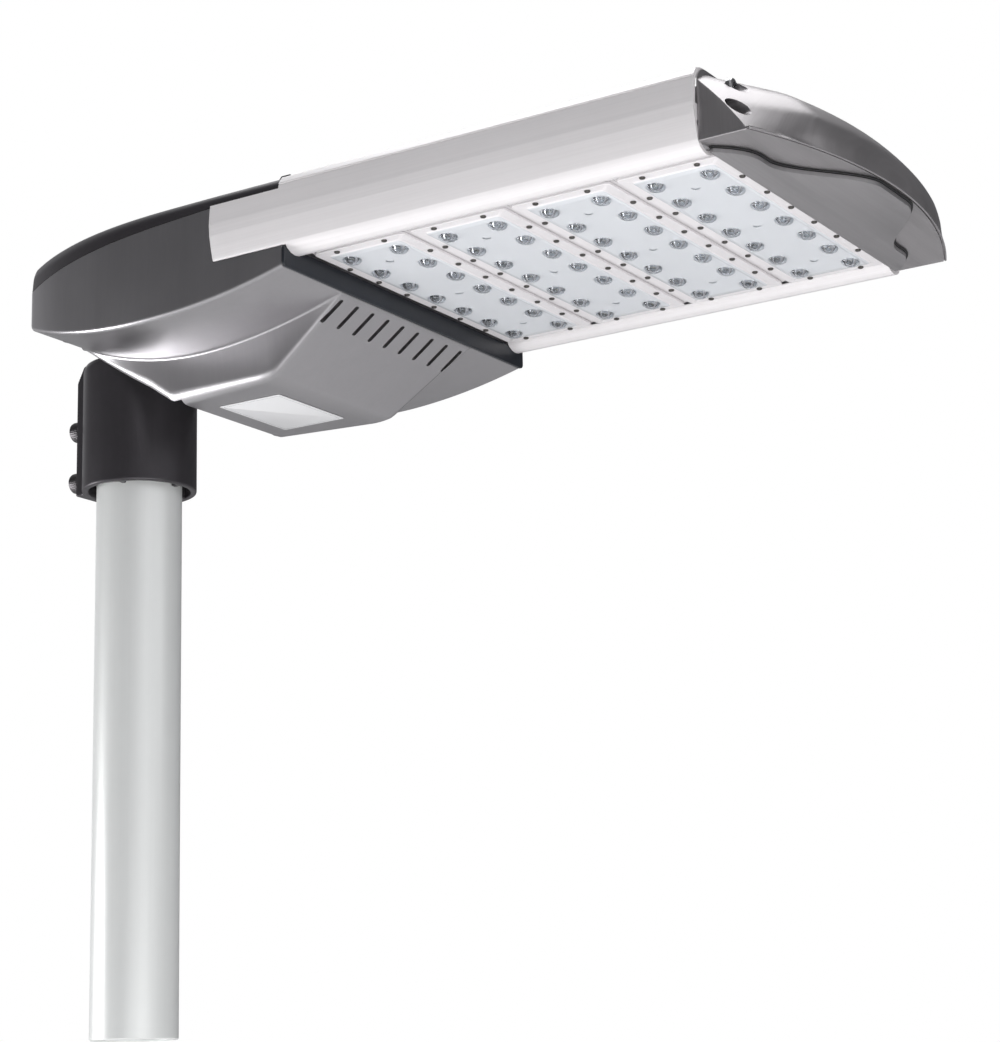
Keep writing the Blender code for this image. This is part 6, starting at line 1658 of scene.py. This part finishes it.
def make_tray_screws():
    profile = [(0, 3.8 * mm), (1.2 * mm, 3.8 * mm), (2.0 * mm, 3.0 * mm), (2.4 * mm, 1.6 * mm)]
    head = turned("head", profile, (0, 0, TRAY_TOP + SEAT_GAP), (0, 0, 1), 32)
    for turn in (0, 1):
        bar = block("cross", (-2.2 * mm, 2.2 * mm), (-0.45 * mm, 0.45 * mm),
                    (TRAY_TOP + 1.5 * mm, TRAY_TOP + 5 * mm))
        bar.data.transform(Matrix.Rotation(turn * math.pi / 2, 4, "Z"))
        shape_with(head, "DIFFERENCE", bar)
    shank = turned("shank", [(0, TRAY_SCREW_RADIUS), (4.5 * mm, TRAY_SCREW_RADIUS), (4.9 * mm, 1.6 * mm)],
                   (0, 0, TRAY_TOP + 0.4 * mm), (0, 0, -1), 20)
    pattern = join_pieces("tray_screw", painted(head, BRIGHT_STEEL), painted(shank, BRIGHT_STEEL))
    screws = set_out("tray_screws", EVEN_ROWS, shape=pattern, columns=2, rows=2,
                     column_step=(0.0, TRAY_SCREWS[1][1] - TRAY_SCREWS[0][1], 0.0),
                     row_step=(TRAY_SCREWS[2][0] - TRAY_SCREWS[0][0], 0.0, 0.0),
                     centre=((TRAY_SCREWS[0][0] + TRAY_SCREWS[2][0]) / 2, 0.0, 0.0),
                     turn_most=(0.0, 0.0, 6.0), finish=BRIGHT_STEEL)
    drop(pattern)
    fit(screws, None, "head", "steel", "tray_screw_1", "tray_screw_2", "tray_screw_3", "tray_screw_4")


make_tray()
make_tray_screws()

# ================================================================ driver, terminals and surge unit
# The LED driver is a ribbed painted can. Before it stand a five-way moulded terminal block and
# an orange surge protector with a small status window.

DRIVER_LOW, DRIVER_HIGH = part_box("led_driver")
BLOCK_LOW, BLOCK_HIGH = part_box("terminal_block")
SURGE_LOW, SURGE_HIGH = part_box("surge_protector")

DRIVER_PAINT = metal_coat("driver_can_paint", (0.50, 0.51, 0.53), 0.42, 0.35, grain=1100.0, depth=0.04,
                          patch=0.05)
TERMINAL_PLASTIC = metal_coat("terminal_plastic", (0.56, 0.56, 0.52), 0.45, 0.0, grain=800.0, depth=0.04,
                              patch=0.06)
SURGE_PLASTIC = metal_coat("surge_plastic", (0.56, 0.13, 0.035), 0.42, 0.0, grain=900.0, depth=0.04,
                           patch=0.08)
STATUS_WINDOW = metal_coat("status_window", (0.05, 0.40, 0.10), 0.2, 0.0, grain=900.0, depth=0.0, coat=0.8)


def solid_in(low, high, radius):
    """Rounded block between two corners of a CAD box, below the lens plane's height."""
    outline = rounded(low.x, high.x, low.y, high.y, radius, 5)
    return extruded("solid", outline, "XY", low.z - LENS_PLANE, high.z - LENS_PLANE)


def make_driver():
    can = solid_in(DRIVER_LOW, DRIVER_HIGH, 3 * mm)
    middle = (DRIVER_LOW + DRIVER_HIGH) / 2
    top = DRIVER_HIGH.z - LENS_PLANE
    groove = extruded("groove", rounded(-29 * mm, 29 * mm, -1.4 * mm, 1.4 * mm, 1.3 * mm, 4), "XY",
                      top - 1.0 * mm, top + 2 * mm)
    grooves = set_out("can_grooves", EVEN_ROWS, shape=groove, columns=9, rows=1,
                      column_step=(0.0, 7 * mm, 0.0),
                      centre=(middle.x, 52 * mm, 0.0), finish=DRIVER_PAINT)
    drop(groove)
    shape_with(can, "DIFFERENCE", grooves)
    round_edges(can, 1.0 * mm, 3, 50)
    driver = join_pieces("driver_can", painted(can, DRIVER_PAINT))
    fit(driver, None, "head", "driver_paint", "led_driver")


def make_terminals():
    base = solid_in(BLOCK_LOW, BLOCK_HIGH, 1.2 * mm)
    top = BLOCK_HIGH.z - LENS_PLANE
    low = BLOCK_LOW.z - LENS_PLANE
    middle = (BLOCK_LOW + BLOCK_HIGH) / 2
    centre_y = -33 * mm
    cuts = []
    for name, shape, finish_centre in (
            ("screw_well", rod("w", 2.8 * mm, 12 * mm, (0, 0, top - 7 * mm), (0, 0, 1), 24),
             (middle.x + 2 * mm, centre_y, 0.0)),
            ("entry", rod("e", 2.6 * mm, 16 * mm, (-15 * mm, 0, low + 6 * mm), (15 * mm, 0, low + 6 * mm),
                          24), (BLOCK_LOW.x, centre_y, 0.0)),
            ("gap", block("g", (-16 * mm, 16 * mm), (-0.4 * mm, 0.4 * mm), (top - 3 * mm, top + 3 * mm)),
             (middle.x, centre_y + 5 * mm, 0.0))):
        cuts.append(set_out(name, EVEN_ROWS, shape=shape, columns=5, rows=1, column_step=(0.0, 10 * mm, 0.0),
                            centre=finish_centre, finish=TERMINAL_PLASTIC))
        drop(shape)
    shape_with(base, "DIFFERENCE", *cuts)
    round_edges(base, 0.3 * mm, 2, 50)
    clamp = turned("clamp", [(0, 2.3 * mm), (1.6 * mm, 2.3 * mm), (2.0 * mm, 1.9 * mm)],
                   (0, 0, top - 6.9 * mm), (0, 0, 1), 20)
    shape_with(clamp, "DIFFERENCE",
               block("slot", (-3 * mm, 3 * mm), (-0.35 * mm, 0.35 * mm), (top - 5.6 * mm, top)))
    clamps = set_out("clamp_screws", EVEN_ROWS, shape=clamp, columns=5, rows=1,
                     column_step=(0.0, 10 * mm, 0.0),
                     centre=(middle.x + 2 * mm, centre_y, 0.0), turn_most=(0.0, 0.0, 6.0),
                     finish=BRIGHT_STEEL)
    drop(clamp)
    block_piece = join_pieces("terminal_row", painted(base, TERMINAL_PLASTIC), clamps)
    fit(block_piece, None, "head", "terminal_plastic", "terminal_block")


def make_surge_unit():
    case = solid_in(SURGE_LOW, SURGE_HIGH, 2 * mm)
    top = SURGE_HIGH.z - LENS_PLANE
    middle = (SURGE_LOW + SURGE_HIGH) / 2
    round_edges(case, 1.0 * mm, 3, 50)
    well = rod("well", 3.0 * mm, 3 * mm, (middle.x, middle.y - 14 * mm, top - 1 * mm),
               (middle.x, middle.y - 14 * mm, 1), 32)
    shape_with(case, "DIFFERENCE", well)
    window = turned("window", [(0, 2.9 * mm), (0.5 * mm, 2.7 * mm), (0.8 * mm, 1.6 * mm)],
                    (middle.x, middle.y - 14 * mm, top - 0.95 * mm), (middle.x, middle.y - 14 * mm, 1), 32)
    unit = join_pieces("surge_unit", painted(case, SURGE_PLASTIC), painted(window, STATUS_WINDOW))
    fit(unit, None, "head", "surge_plastic", "surge_protector")


make_driver()
make_terminals()
make_surge_unit()

# ================================================================ cable gland
# A black nylon gland in the bulkhead, with a ribbed dome nut outside and a hexagon lock nut in
# the electrical room.

BLACK_NYLON = metal_coat("black_nylon", (0.022, 0.022, 0.024), 0.42, 0.0, grain=900.0, depth=0.05, patch=0.15)


def make_gland():
    z = GLAND_HEIGHT
    tip = BULKHEAD_REAR - 16 * mm
    ribs = 40
    rings = []
    for x, radius in ((tip, 6.0), (tip + 2.5 * mm, 8.2), (tip + 4.0 * mm, 9.0), (tip + 9 * mm, 9.0),
                      (tip + 9.4 * mm, 8.6)):
        rib = 0.25 * mm if radius == 9.0 else 0.0
        rings.append([(x, (radius * mm - rib * (i % 4 > 1)) * math.cos(math.tau * i / (ribs * 4)),
                       z + (radius * mm - rib * (i % 4 > 1)) * math.sin(math.tau * i / (ribs * 4)))
                      for i in range(ribs * 4)])
    dome = skin("dome", rings)
    hexagon_body = hexagon("hexagon", (BULKHEAD_REAR - SEAT_GAP, 0, z), (tip, 0, z), 6 * mm, 13 * mm)
    thread_turns = 11
    thread = turned("thread",
                    [(i * 0.75 * mm, (8.95 if i % 2 else 8.4) * mm) for i in range(2 * thread_turns)],
                    (BULKHEAD_REAR - 7.5 * mm, 0, z), (BULKHEAD_FRONT + 8 * mm, 0, z), 40)
    shape_with(hexagon_body, "UNION", dome, thread)
    bore = rod("bore", 4.5 * mm, 60 * mm, (tip - 5 * mm, 0, z), (BULKHEAD_FRONT + 20 * mm, 0, z), 32)
    shape_with(hexagon_body, "DIFFERENCE", bore)
    hexagon_body.name = "nylon_gland"
    fit(hexagon_body, BLACK_NYLON, "head", "black_nylon", "cable_gland")
    nut = hexagon("lock_nut", (BULKHEAD_FRONT + SEAT_GAP, 0, z), (1, 0, z), 4 * mm, 13 * mm, 9.3 * mm)
    fit(nut, BLACK_NYLON, "head", "black_nylon", "gland_nut")


make_gland()
